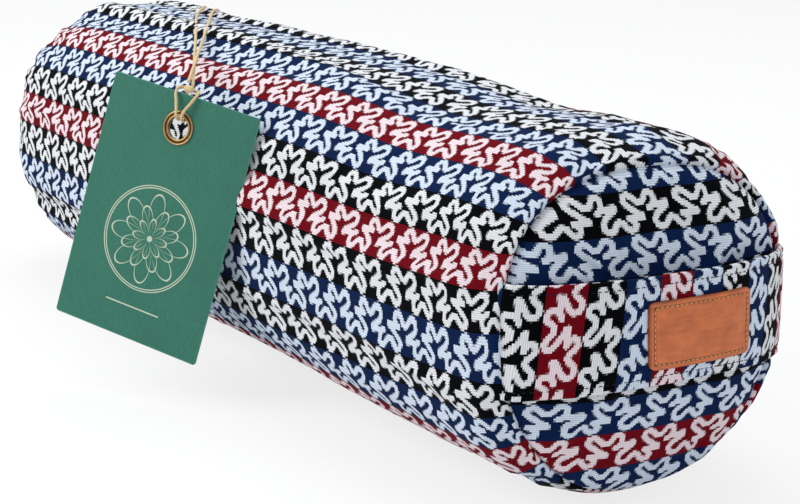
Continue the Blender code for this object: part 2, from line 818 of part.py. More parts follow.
    def build_tag(self):
        """The card, its brass eyelet and the washer behind it."""
        facing = self.tag_frame() @ Matrix.Rotation(math.pi / 2, 4, "X")
        hole_centre = (0.0, -KNOT_ABOVE_CARD - EYELET_DROP)
        inner = EYELET_BORE / 2
        outer = inner + EYELET_WALL
        flange = EYELET_FLANGE / 2
        hole = circle_outline(outer + EYELET_GAP, hole_centre, EYELET_STEPS)
        card = self.add_plate("tag_card", [self.card_outline(), hole], CARD_THICKNESS, self.card)
        card.matrix_world = facing
        seat = CARD_THICKNESS / 2 + EYELET_GAP
        back = -seat - EYELET_WALL - EYELET_GAP
        profile = [
            (outer, seat + 2 * EYELET_WALL),
            (flange - EYELET_WALL, seat + EYELET_WALL * 1.5),
            (flange, seat + EYELET_WALL * 0.5),
            (flange, seat),
            (outer, seat),
            (outer, back),
            (inner, back),
            (inner, seat + EYELET_WALL),
        ]
        eyelet = turned_object("tag_eyelet", profile, EYELET_STEPS, self.brass, self.parts)
        eyelet.matrix_world = facing @ Matrix.Translation((*hole_centre, 0.0))
        profile = [
            (flange, -seat),
            (flange, -seat - EYELET_WALL),
            (outer + EYELET_GAP, -seat - EYELET_WALL),
            (outer + EYELET_GAP, -seat),
        ]
        washer = turned_object("tag_eyelet_washer", profile, EYELET_STEPS, self.brass, self.parts)
        washer.matrix_world = eyelet.matrix_world

    def strand_points(self, route, end):
        """A strand's points: along the cloth, then free and straight to the knot."""
        points = []
        for x, angle, height in route:
            turn = math.radians(angle)
            lift = skin_normal(x / 1000, turn) * (height / 1000)
            points.append(skin_point(x / 1000, turn) + lift)
        leaving = points[-1]
        stop = self.knot_frame() @ (Vector(end) / 1000)
        points += [leaving.lerp(stop, share) for share in FREE_SHARES]
        points.append(stop)
        return smooth_route(points, CORD_STEP)

    def build_cords(self):
        """The tag's gold cord: two long strands over the crest, the knot, and the hitch on the card."""
        left = self.strand_points(STRAND_LEFT, STRAND_LEFT_END)
        right = self.strand_points(STRAND_RIGHT, STRAND_RIGHT_END)
        self.add("tag_strand_left", cord_mesh("tag_strand_left", left, CORD_DIAMETER), self.cord)
        self.add("tag_strand_right", cord_mesh("tag_strand_right", right, CORD_DIAMETER), self.cord)
        half = [Vector(point) / 1000 for point in HITCH_HALF]
        mirrored = [Vector((-x, y, z)) for x, y, z in reversed(half[:-1])]
        points = smooth_route(half + mirrored, HITCH_STEP)
        hitch = self.add("tag_hitch", cord_mesh("tag_hitch", points, CORD_DIAMETER), self.cord)
        hitch.matrix_world = self.tag_frame()
        shape = bmesh.new()
        bmesh.ops.create_cone(
            shape,
            cap_ends=True,
            segments=KNOT_STEPS,
            radius1=KNOT_DIAMETER / 2,
            radius2=KNOT_DIAMETER / 2,
            depth=KNOT_LENGTH,
        )
        knot = self.add("tag_knot", mesh_from("tag_knot", shape), self.cord)
        knot.matrix_world = self.knot_frame() @ Matrix.Rotation(math.pi / 2, 4, "Y")


def main():
    """Builds the bolster."""
    clear_scene()
    bolster = Bolster()
    bolster.build_inner_case()
    bolster.build_cover()
    bolster.build_handle()
    bolster.build_label()
    bolster.build_zip()
    bolster.build_tag()
    bolster.build_cords()


main()
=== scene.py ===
"""Looks of a round yoga bolster in patterned cotton, with its carry handle, zip and swing tag.

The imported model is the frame: the bolster lies along X on the floor, its carry handle at +X,
its zip at the back, +Y. Sizes are in metres unless a name says otherwise.
"""

import logging
import math
from bisect import bisect_right
from collections.abc import Callable, Sequence
from dataclasses import dataclass, field
from enum import Enum
from itertools import accumulate

import bmesh
import bpy
from mathutils import Matrix, Vector, kdtree, noise


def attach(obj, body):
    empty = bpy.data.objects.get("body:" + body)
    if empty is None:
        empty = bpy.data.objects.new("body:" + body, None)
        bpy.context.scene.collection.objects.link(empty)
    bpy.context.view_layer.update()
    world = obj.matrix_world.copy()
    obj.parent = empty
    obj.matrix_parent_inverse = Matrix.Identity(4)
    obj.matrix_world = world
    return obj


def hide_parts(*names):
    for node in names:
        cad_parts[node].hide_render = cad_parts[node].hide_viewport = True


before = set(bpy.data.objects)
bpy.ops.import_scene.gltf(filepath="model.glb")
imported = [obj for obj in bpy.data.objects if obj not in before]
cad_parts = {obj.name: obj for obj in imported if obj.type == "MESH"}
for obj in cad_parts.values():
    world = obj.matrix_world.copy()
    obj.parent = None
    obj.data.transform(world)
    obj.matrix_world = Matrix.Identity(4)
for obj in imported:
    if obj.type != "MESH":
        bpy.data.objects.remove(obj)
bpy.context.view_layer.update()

LOG = logging.getLogger("bolster")
MM = 0.001
WELD = 0.00001
FABRIC_MAP = "fabric"

PIXELS_WIDE = 800
POLE = 2.999

Material = bpy.types.Material
Object = bpy.types.Object
Shape = bmesh.types.BMesh
Triple = tuple[float, float, float]
Route = Sequence[Triple]


class Body(Enum):
    """The bodies that new pieces ride on."""

    BOLSTER = "bolster"
    TAG = "swing_tag"


class Slot(Enum):
    """The record's finishes."""

    JACQUARD = "jacquard_cotton"
    COTTON = "plain_cotton"
    HUSK = "spelt_husk"
    LEATHER = "tan_leather"
    TAPE = "zip_tape"
    CARD = "green_card"
    BRASS = "eyelet_brass"
    CORD = "gold_cord"


class Lamp(Enum):
    """The soft lamps of the studio, by their place round the bolster."""

    KEY = "key_lamp"
    TOP = "top_lamp"
    END = "end_lamp"


def mix(first: float, second: float, share: float) -> float:
    """The value that lies the given share of the way from first to second."""
    return first + (second - first) * share


def clamp(value: float, low: float = 0.0, high: float = 1.0) -> float:
    """The value, kept between low and high."""
    return min(max(value, low), high)


def smooth(low: float, high: float, value: float) -> float:
    """A soft step from 0 at low to 1 at high."""
    share = clamp((value - low) / (high - low))
    return share * share * (3 - 2 * share)


def bell(distance: float, width: float) -> float:
    """A soft bell, 1 at no distance and nearly 0 two widths away."""
    return math.exp(-((distance / width) ** 2))


def linear(colour: Triple) -> tuple[float, float, float, float]:
    """A screen colour from 0 to 255 as the four linear numbers of a colour socket."""
    red, green, blue = ((value / 255) ** 2.2 for value in colour)
    return red, green, blue, 1.0


class Socket:
    """A shader value that can stand in a Python expression."""

    def __init__(self, recipe: "Recipe", socket: bpy.types.NodeSocket) -> None:
        """Holds a node's output and the recipe that the node belongs to."""
        self.recipe = recipe
        self.socket = socket

    def math(self, operation: str, *others: object, clamped: bool = False) -> "Socket":
        """Puts this value and the others through a Math node.

        Args:
            operation: The Math node's operation.
            others: Its further operands, numbers or sockets.
            clamped: Whether the result is kept between 0 and 1.

        Returns:
            The result.
        """
        inputs = dict(enumerate((self, *others)))
        settings = {"operation": operation, "use_clamp": clamped}
        return self.recipe.node("ShaderNodeMath", settings, inputs)

    def reversed_math(self, operation: str, other: float) -> "Socket":
        """Puts a number first and this value second through a Math node."""
        return self.recipe.node("ShaderNodeMath", {"operation": operation}, {0: other, 1: self})

    def __add__(self, other: object) -> "Socket":
        """This value plus another."""
        return self.math("ADD", other)

    __radd__ = __add__

    def __sub__(self, other: object) -> "Socket":
        """This value less another."""
        return self.math("SUBTRACT", other)

    def __rsub__(self, other: float) -> "Socket":
        """A number less this value."""
        return self.reversed_math("SUBTRACT", other)

    def __mul__(self, other: object) -> "Socket":
        """This value times another."""
        return self.math("MULTIPLY", other)

    __rmul__ = __mul__

    def __truediv__(self, other: object) -> "Socket":
        """This value divided by another."""
        return self.math("DIVIDE", other)

    def __lt__(self, other: object) -> "Socket":
        """1 where this value is less than another."""
        return self.math("LESS_THAN", other)

    def __abs__(self) -> "Socket":
        """This value without its sign."""
        return self.math("ABSOLUTE")

    def ramp(self, low: float, high: float) -> "Socket":
        """A straight rise from 0 at low to 1 at high, level outside them."""
        return ((self - low) * (1 / (high - low))).math("ADD", 0.0, clamped=True)


class Recipe:
    """Builds the nodes of one material or node group."""

    def __init__(self, tree: bpy.types.NodeTree) -> None:
        """Starts on the node tree that takes the nodes."""
        self.tree = tree

    def node(
        self, kind: str, settings: dict | None = None, inputs: dict | None = None, output: object = 0
    ) -> Socket:
        """Adds a node of any type.

        Args:
            kind: The node's type name.
            settings: Its properties, set first. stops holds a colour ramp's places and colours.
            inputs: Values or sockets, by socket name or number.
            output: The output to hand on, by name or number.

        Returns:
            The node's output as a socket.
        """
        node = self.tree.nodes.new(kind)
        for name, value in (settings or {}).items():
            if name == "stops":
                self.set_stops(node.color_ramp, value)
            else:
                setattr(node, name, value)
        for name, value in (inputs or {}).items():
            if isinstance(value, Socket):
                self.tree.links.new(value.socket, node.inputs[name])
            else:
                node.inputs[name].default_value = value
        return Socket(self, node.outputs[output])

    @staticmethod
    def set_stops(ramp: bpy.types.ColorRamp, stops: Sequence[tuple[float, tuple]]) -> None:
        """Gives a colour ramp its stops."""
        ramp.elements.remove(ramp.elements[1])
        ramp.elements[0].position = stops[0][0]
        ramp.elements[0].color = stops[0][1]
        for place, colour in stops[1:]:
            ramp.elements.new(place).color = colour

    def vector(self, operation: str, *operands: object, output: str = "Vector") -> Socket:
        """Puts vectors through a Vector Math node."""
        inputs = dict(enumerate(operands))
        if operation == "SCALE":
            inputs = {0: operands[0], "Scale": operands[1]}
        return self.node("ShaderNodeVectorMath", {"operation": operation}, inputs, output)

    def blend(self, share: object, first: object, second: object, mode: str = "MIX") -> Socket:
        """Mixes two colours by a share."""
        settings = {"data_type": "RGBA", "blend_type": mode}
        return self.node("ShaderNodeMix", settings, {0: share, 6: first, 7: second}, 2)

    def tint(self, share: object, first: Triple, second: Triple) -> Socket:
        """Mixes two screen colours by a share."""
        return self.blend(share, linear(first), linear(second))

    def part(self, place: Socket, number: int) -> Socket:
        """One number of a place: 0, 1 or 2 for X, Y or Z."""
        return self.node("ShaderNodeSeparateXYZ", None, {0: place}, number)

    def fabric_place(self) -> Socket:
        """The place on the piece's own fabric map."""
        return self.node("ShaderNodeUVMap", {"uv_map": FABRIC_MAP})

    def object_place(self) -> Socket:
        """The place on the object, in metres."""
        return self.node("ShaderNodeTexCoord", output="Object")

    def stretched(self, place: Socket, scale: Triple) -> Socket:
        """A place with each of its numbers scaled."""
        return self.vector("MULTIPLY", place, scale)

    def noise(self, place: Socket, scale: float, detail: float = 2.0) -> Socket:
        """Cloudy noise from 0 to 1."""
        inputs = {"Vector": place, "Scale": scale, "Detail": detail}
        return self.node("ShaderNodeTexNoise", None, inputs)

    def bump(self, height: Socket, distance: float, strength: float = 1.0) -> Socket:
        """A surface normal raised by a height from 0 to 1 over a distance."""
        inputs = {"Height": height, "Distance": distance, "Strength": strength}
        return self.node("ShaderNodeBump", None, inputs)

    def finish(self, colour: Socket, roughness: Socket, normal: Socket, fixed: dict[str, object]) -> None:
        """Adds the shader and the output.

        Args:
            colour: The base colour over the surface.
            roughness: The roughness over the surface.
            normal: The normal over the surface.
            fixed: Constants, set on the shader's own sockets.
        """
        varying = {"Base Color": colour, "Roughness": roughness, "Normal": normal}
        shader = self.node("ShaderNodeBsdfPrincipled", None, {**fixed, **varying})
        self.node_output(shader)

    def node_output(self, shader: Socket) -> None:
        """Adds the material output behind a shader."""
        output = self.tree.nodes.new("ShaderNodeOutputMaterial")
        self.tree.links.new(shader.socket, output.inputs["Surface"])


def new_material(name: str, colour: Triple) -> tuple[Material, Recipe]:
    """Starts a material with an empty node tree.

    Args:
        name: The material's name.
        colour: Its plain colour outside a render, from 0 to 255.

    Returns:
        The material and the recipe that fills it.
    """
    material = bpy.data.materials.new(name)
    material.use_nodes = True
    material.node_tree.nodes.clear()
    material.diffuse_color = linear(colour)
    return material, Recipe(material.node_tree)


@dataclass(frozen=True)
class Jacquard:
    """Striped cotton woven with a white chain of scrolls, one chain to each stripe.

    The fabric map counts repeats of the scroll along a stripe, and stripes across.
    """

    name: str = "striped_scroll_cotton"
    navy: Triple = (16, 36, 72)
    red: Triple = (108, 12, 26)
    black: Triple = (8, 9, 13)
    white_on_navy: Triple = (208, 220, 236)
    white_on_red: Triple = (233, 216, 222)
    white_on_black: Triple = (224, 226, 230)
    order: str = "BRBKRKBK"
    repeat_mm: float = 35.0
    stripe_mm: float = 23.0
    stagger: float = 0.055
    stroke: float = 0.049
    drop: float = 0.025
    thread_mm: float = 1.15
    chain: tuple[tuple[float, float], ...] = (
        (0.205, 0.165), (0.145, 0.270), (0.165, 0.375), (0.240, 0.420), (0.325, 0.335),
        (0.400, 0.225), (0.485, 0.212), (0.548, 0.300), (0.585, 0.405), (0.655, 0.440),
        (0.730, 0.365), (0.742, 0.225), (0.700, 0.125), (0.615, 0.065), (0.720, 0.120),
        (0.830, 0.135), (0.955, 0.160), (0.950, 0.085), (0.835, -0.015), (0.740, -0.095),
        (0.690, -0.210), (0.715, -0.335), (0.800, -0.400), (0.885, -0.350), (0.945, -0.240),
        (1.005, -0.185), (1.075, -0.220), (1.125, -0.330), (1.200, -0.410), (1.280, -0.385),
        (1.315, -0.290), (1.280, -0.190), (1.200, -0.125), (1.330, -0.110), (1.465, -0.130),
        (1.455, -0.075), (1.380, -0.035), (1.295, 0.065), (1.205, 0.165),
    )

    def strokes(self) -> list[tuple[Vector, Vector]]:
        """The chain's straight strokes that reach into the repeat from 0 to 1, in repeats."""
        ratio = self.stripe_mm / self.repeat_mm
        points = [Vector((across, up * ratio, 0.0)) for across, up in self.chain]
        strokes = []
        for start, stop in zip(points, points[1:]):
            for shift in (0, -1):
                low = min(start.x, stop.x) + shift - self.stroke
                high = max(start.x, stop.x) + shift + self.stroke
                if high > 0 and low < 1:
                    move = Vector((shift, 0.0, 0.0))
                    strokes.append((start + move, stop + move))
        return strokes

    def scroll(self, recipe: Recipe, along: Socket, across: Socket) -> Socket:
        """How far a place is from the nearest scroll, in repeats.

        Args:
            recipe: The material's recipe.
            along: Repeats along the stripe.
            across: Stripes across, with whole numbers at the stripe edges.

        Returns:
            The distance to the scroll's centre line.
        """
        height = (across.math("FRACT") - 0.5 + self.drop) * (self.stripe_mm / self.repeat_mm)
        place = recipe.node("ShaderNodeCombineXYZ", None, {0: along.math("FRACT"), 1: height})
        nearest = None
        for start, stop in self.strokes():
            run = stop - start
            offset = recipe.vector("SUBTRACT", place, tuple(start))
            share = recipe.vector("DOT_PRODUCT", offset, tuple(run / run.length_squared), output="Value")
            kept = share.math("MAXIMUM", 0.0).math("MINIMUM", 1.0)
            reached = recipe.vector("SCALE", tuple(run), kept)
            away = recipe.vector("DISTANCE", offset, reached, output="Value")
            nearest = away if nearest is None else nearest.math("MINIMUM", away)
        return nearest

    def build(self) -> Material:
        """Builds the material."""
        material, recipe = new_material(self.name, self.navy)
        place = recipe.fabric_place()
        cell = (self.thread_mm / self.repeat_mm, self.thread_mm / self.stripe_mm, 1.0)
        woven = recipe.vector("SNAP", place, cell)
        woven_along, woven_across = recipe.part(woven, 0), recipe.part(woven, 1)
        raw_across = recipe.part(place, 1)
        raw_along = recipe.part(place, 0)
        row = woven_across.math("FLOOR")
        along = woven_along + row * self.stagger
        distance = self.scroll(recipe, along, woven_across)
        wander = (recipe.noise(place, 60.0, 1.0) - 0.5) * 0.02
        mask = 1.0 - (distance + wander).ramp(self.stroke - 0.006, self.stroke + 0.006)
        tints = {"B": self.navy, "R": self.red, "K": self.black}
        whites = {"B": self.white_on_navy, "R": self.white_on_red, "K": self.white_on_black}
        turn = (raw_across / 8.0).math("FRACT")
        ground = self.stripes(recipe, turn, tints)
        white = self.stripes(recipe, turn, whites)
        turns = math.tau / self.thread_mm
        pick = (raw_across * (self.stripe_mm * turns)).math("COSINE") * -0.5 + 0.5
        warp = (raw_along * (self.repeat_mm * turns)).math("COSINE") * -0.5 + 0.5
        fleck = recipe.noise(recipe.stretched(place, (30.0, 260.0, 1.0)), 1.0, 2.0)
        shade = 0.70 + pick * 0.30 + warp * 0.05 + fleck * 0.12
        cloth = recipe.blend(mask, ground, white)
        fade = recipe.noise(recipe.object_place(), 9.0, 3.0)
        light = shade * (0.94 + fade * 0.12)
        grey = recipe.node("ShaderNodeCombineXYZ", None, {0: light, 1: light, 2: light})
        colour = recipe.blend(1.0, cloth, grey, "MULTIPLY")
        relief = pick * 0.45 + warp * 0.20 + fleck * 0.35
        recipe.finish(
            colour,
            0.92 - mask * 0.10,
            recipe.bump(relief, 0.00035, 0.85),
            {"Specular IOR Level": 0.05, "Sheen Weight": 0.015, "Sheen Roughness": 0.5},
        )
        return material

    def stripes(self, recipe: Recipe, turn: Socket, tints: dict[str, tuple]) -> Socket:
        """The colour of each stripe of the eight that repeat."""
        stops = [(number / 8, linear(tints[letter])) for number, letter in enumerate(self.order)]
        ramp = recipe.node("ShaderNodeValToRGB", {"stops": stops}, {0: turn})
        ramp.socket.node.color_ramp.interpolation = "CONSTANT"
        return ramp


@dataclass(frozen=True)
class PlainCotton:
    """Plain unbleached cotton of the inner case, or a sewing thread."""

    name: str
    colour: Triple
    thread_mm: float = 0.5

    def build(self) -> Material:
        """Builds the material with a plain weave in both directions."""
        material, recipe = new_material(self.name, self.colour)
        place = recipe.object_place()
        turns = math.tau / (self.thread_mm * MM)
        waves = []
        for number in (0, 1, 2):
            waves.append((recipe.part(place, number) * turns).math("SINE"))
        weave = (waves[0] * waves[2] + waves[1]) * 0.25 + 0.5
        slub = recipe.noise(recipe.stretched(place, (40.0, 40.0, 500.0)), 1.0, 3.0)
        share = weave * 0.35 + slub * 0.4
        dark = tuple(value * 0.78 for value in self.colour)
        colour = recipe.tint(share, dark, self.colour)
        recipe.finish(
            colour,
            0.78 + slub * 0.18,
            recipe.bump(weave * 0.6 + slub * 0.4, 0.0002, 0.6),
            {"Specular IOR Level": 0.2, "Sheen Weight": 0.1},
        )
        return material


@dataclass(frozen=True)
class Husk:
    """Loose spelt husks: small pale boats lying in every direction."""

    name: str = "loose_spelt_husks"
    pale: Triple = (214, 184, 128)
    dark: Triple = (128, 92, 50)

    def build(self) -> Material:
        """Builds the material with one cell to each husk."""
        material, recipe = new_material(self.name, self.pale)
        place = recipe.stretched(recipe.object_place(), (1.0, 1.7, 1.4))
        size = {"Vector": place, "Scale": 190.0}
        cells = recipe.node("ShaderNodeTexVoronoi", {"feature": "F1"}, size)
        tone = recipe.node("ShaderNodeTexVoronoi", {"feature": "F1"}, size, "Color")
        grey = recipe.node("ShaderNodeSeparateColor", None, {0: tone}, 0)
        colour = recipe.tint(grey * 0.7 + cells * 0.3, self.pale, self.dark)
        recipe.finish(
            colour,
            0.55 + grey * 0.3,
            recipe.bump(1.0 - cells, 0.0015, 0.9),
            {"Specular IOR Level": 0.35},
        )
        return material


@dataclass(frozen=True)
class Leather:
    """Tan leather with a fine grain, burnished edges and a darker pressed sewn line, partly painted shade of
    the stitch holes. Its map is in the label's own metres.
    """

    half_width: float
    half_height: float
    name: str = "tan_grain_leather"
    tan: Triple = (206, 110, 60)
    dark: Triple = (98, 40, 18)
    edge_width: float = 0.0014
    sewn_in: float = 0.0030

    def build(self) -> Material:
        """Builds the material."""
        material, recipe = new_material(self.name, self.tan)
        place = recipe.fabric_place()
        across = recipe.part(place, 0)
        up = recipe.part(place, 1)
        inside = (self.half_width - abs(across)).math("MINIMUM", self.half_height - abs(up))
        edge = 1.0 - inside.ramp(0.0, self.edge_width)
        cloud = recipe.noise(place, 90.0, 4.0)
        fine = recipe.noise(place, 900.0, 3.0)
        pores = recipe.node("ShaderNodeTexVoronoi", {"feature": "F1"}, {"Vector": place, "Scale": 1500.0})
        streak = recipe.noise(recipe.stretched(place, (60.0, 420.0, 1.0)), 1.0, 3.0)
        # Darker along the sewn line: partly the pressed leather, partly painted shade standing in for the
        # dark stitch holes.
        pressed_line_and_hole_shade = 1.0 - abs(inside - self.sewn_in).ramp(0.0003, 0.0009)
        grain = cloud * 0.90 + streak * 0.60 + fine * 0.20 - 0.66
        share = (edge * 0.45 + pressed_line_and_hole_shade * 0.55 + grain).math("MAXIMUM", 0.0)
        colour = recipe.tint(share, self.tan, self.dark)
        relief = pores * 0.5 + fine * 0.4 + cloud * 0.3
        recipe.finish(
            colour,
            0.32 + cloud * 0.18 + pressed_line_and_hole_shade * 0.2,
            recipe.bump(relief, 0.00016, 0.7),
            {"Specular IOR Level": 0.45},
        )
        return material


@dataclass(frozen=True)
class ZipTape:
    """Herringbone-woven zip tape."""

    name: str = "woven_zip_tape"
    colour: Triple = (26, 27, 32)

    def build(self) -> Material:
        """Builds the material."""
        material, recipe = new_material(self.name, self.colour)
        place = recipe.object_place()
        along = recipe.part(place, 0)
        up = recipe.part(place, 2)
        chevron = (up * 420.0).math("PINGPONG", 1.0)
        twill = ((along * 1250.0 + chevron * 2.0) * math.pi).math("SINE") * 0.5 + 0.5
        lint = recipe.noise(place, 700.0, 2.0)
        bright = tuple(value * 1.9 for value in self.colour)
        colour = recipe.tint(twill * 0.6 + lint * 0.3, self.colour, bright)
        recipe.finish(
            colour,
            0.7 + lint * 0.2,
            recipe.bump(twill, 0.00015, 0.8),
            {"Specular IOR Level": 0.3},
        )
        return material


@dataclass(frozen=True)
class Moulded:
    """Moulded dark zip teeth, rubbed a little paler where the slider runs."""

    name: str = "moulded_zip_teeth"
    colour: Triple = (30, 31, 36)

    def build(self) -> Material:
        """Builds the material."""
        material, recipe = new_material(self.name, self.colour)
        place = recipe.object_place()
        rub = recipe.noise(recipe.stretched(place, (90.0, 900.0, 900.0)), 1.0, 3.0)
        pale = tuple(value * 1.8 for value in self.colour)
        recipe.finish(
            recipe.tint(rub.ramp(0.45, 0.8), self.colour, pale),
            0.34 + rub * 0.22,
            recipe.bump(recipe.noise(place, 2400.0), 0.00004, 0.5),
            {"Specular IOR Level": 0.5},
        )
        return material


@dataclass(frozen=True)
class Plated:
    """Plated metal with fine handling marks."""

    name: str
    colour: Triple
    worn: Triple
    roughness: float = 0.24

    def build(self) -> Material:
        """Builds the material."""
        material, recipe = new_material(self.name, self.colour)
        place = recipe.object_place()
        cloud = recipe.noise(place, 160.0, 4.0)
        marks = recipe.noise(recipe.stretched(place, (300.0, 2600.0, 900.0)), 1.0, 3.0)
        tone = recipe.tint(cloud.ramp(0.35, 0.75) * 0.6, self.colour, self.worn)
        recipe.finish(
            tone,
            self.roughness + cloud * 0.14 + marks * 0.10,
            recipe.bump(marks, 0.00002, 0.5),
            {"Metallic": 1.0},
        )
        return material


@dataclass(frozen=True)
class PrintedCard:
    """Green card with a soft tooth, paler rubbed edges and a plain printed rosette.

    Its map is in the card's own metres, from the middle of the top edge.
    """

    half_width: float
    height: float
    name: str = "green_pulp_card"
    green: Triple = (56, 122, 104)
    deep: Triple = (30, 88, 72)
    ink: Triple = (206, 214, 190)
    rosette_drop: float = 0.098
    rosette_reach: float = 0.030
    petals: int = 8
    line: float = 0.00045
    rings: tuple[float, float] = (0.0335, 0.0350)
    rule_drop: float = 0.145
    rule_half: float = 0.021

    def rosette(self, recipe: Recipe, across: Socket, up: Socket) -> Socket:
        """The printed lines: petals, a ring and the middle dot, with a short rule below them.

        Args:
            recipe: The material's recipe.
            across: Metres from the card's middle.
            up: Metres below the top edge, negative.

        Returns:
            1 on a printed line, 0 between lines.
        """
        rise = up + self.rosette_drop
        reach = (across * across + rise * rise).math("SQRT")
        turn = rise.math("ARCTAN2", across)
        ink = None
        for scale, shift in ((1.0, 0.0), (0.72, math.pi / self.petals), (0.44, 0.0)):
            lobe = abs(((turn + shift) * (self.petals / 2)).math("COSINE")).math("SQRT")
            edge = lobe * (self.rosette_reach * scale)
            line = 1.0 - abs(reach - edge).ramp(self.line * 0.8, self.line * 1.6)
            ink = line if ink is None else ink.math("MAXIMUM", line)
        for radius in self.rings:
            ring = 1.0 - abs(reach - radius).ramp(self.line * 0.5, self.line)
            ink = ink.math("MAXIMUM", ring)
        dot = 1.0 - reach.ramp(0.0018, 0.0022)
        ink = ink.math("MAXIMUM", dot)
        rule = (abs(across) < self.rule_half) * (abs(up + self.rule_drop) < self.line)
        return ink.math("MAXIMUM", rule)

    def build(self) -> Material:
        """Builds the material."""
        material, recipe = new_material(self.name, self.green)
        place = recipe.fabric_place()
        across = recipe.part(place, 0)
        up = recipe.part(place, 1)
        ink = self.rosette(recipe, across, up)
        edge_side = self.half_width - abs(across)
        edge_end = (up + self.height).math("MINIMUM", 0.0 - up)
        edge = 1.0 - edge_side.math("MINIMUM", edge_end).ramp(0.0, 0.0007)
        fibre = recipe.noise(place, 620.0, 5.0)
        laid = recipe.noise(recipe.stretched(place, (1300.0, 160.0, 1.0)), 1.0, 3.0)
        cloud = recipe.noise(place, 24.0, 3.0)
        share = fibre * 0.45 + laid * 0.75 + cloud * 0.35 - 0.30
        ground = recipe.tint(share, self.green, self.deep)
        pale = tuple(value + 40 for value in self.green)
        rubbed = recipe.blend(edge * 0.5, ground, linear(pale))
        tooth = ink * (0.62 + fibre * 0.35)
        recipe.finish(
            recipe.blend(tooth, rubbed, linear(self.ink)),
            0.50 + fibre * 0.22,
            recipe.bump(fibre + laid * 0.5, 0.00022, 0.7),
            {"Specular IOR Level": 0.35},
        )
        return material


@dataclass(frozen=True)
class GoldCord:
    """Twisted two-ply cord. Its map runs along the cord in metres and once round it."""

    name: str = "gold_twist_cord"
    bright: Triple = (242, 220, 168)
    deep: Triple = (150, 108, 54)
    fibre_pitch: float = 0.0009

    def build(self) -> Material:
        """Builds the material with slanting fibres on each ply."""
        material, recipe = new_material(self.name, self.bright)
        place = recipe.fabric_place()
        along = recipe.part(place, 0)
        around = recipe.part(place, 1)
        fibres = ((along / self.fibre_pitch - around * 3.0) * math.tau).math("SINE") * 0.5 + 0.5
        fuzz = recipe.noise(recipe.object_place(), 1500.0, 2.0)
        share = fibres * 0.45 + fuzz * 0.35
        recipe.finish(
            recipe.tint(share, self.bright, self.deep),
            0.5 + fuzz * 0.25,
            recipe.bump(fibres * 0.7 + fuzz * 0.3, 0.00012, 0.7),
            {"Specular IOR Level": 0.4, "Sheen Weight": 0.1},
        )
        return material


@dataclass(frozen=True)
class EndShape:
    """One end of the bolster: its seam and the crown of its round panel."""

    sign: int
    rounding: float
    seam_width: float
    seam_height: float
    seam_rise: float
    squareness: float
    crown: float


FRONT = EndShape(1, 0.034, 0.186, 0.174, 0.003, 2.5, 0.023)
REAR = EndShape(-1, 0.043, 0.181, 0.178, 0.0, 2.2, 0.025)


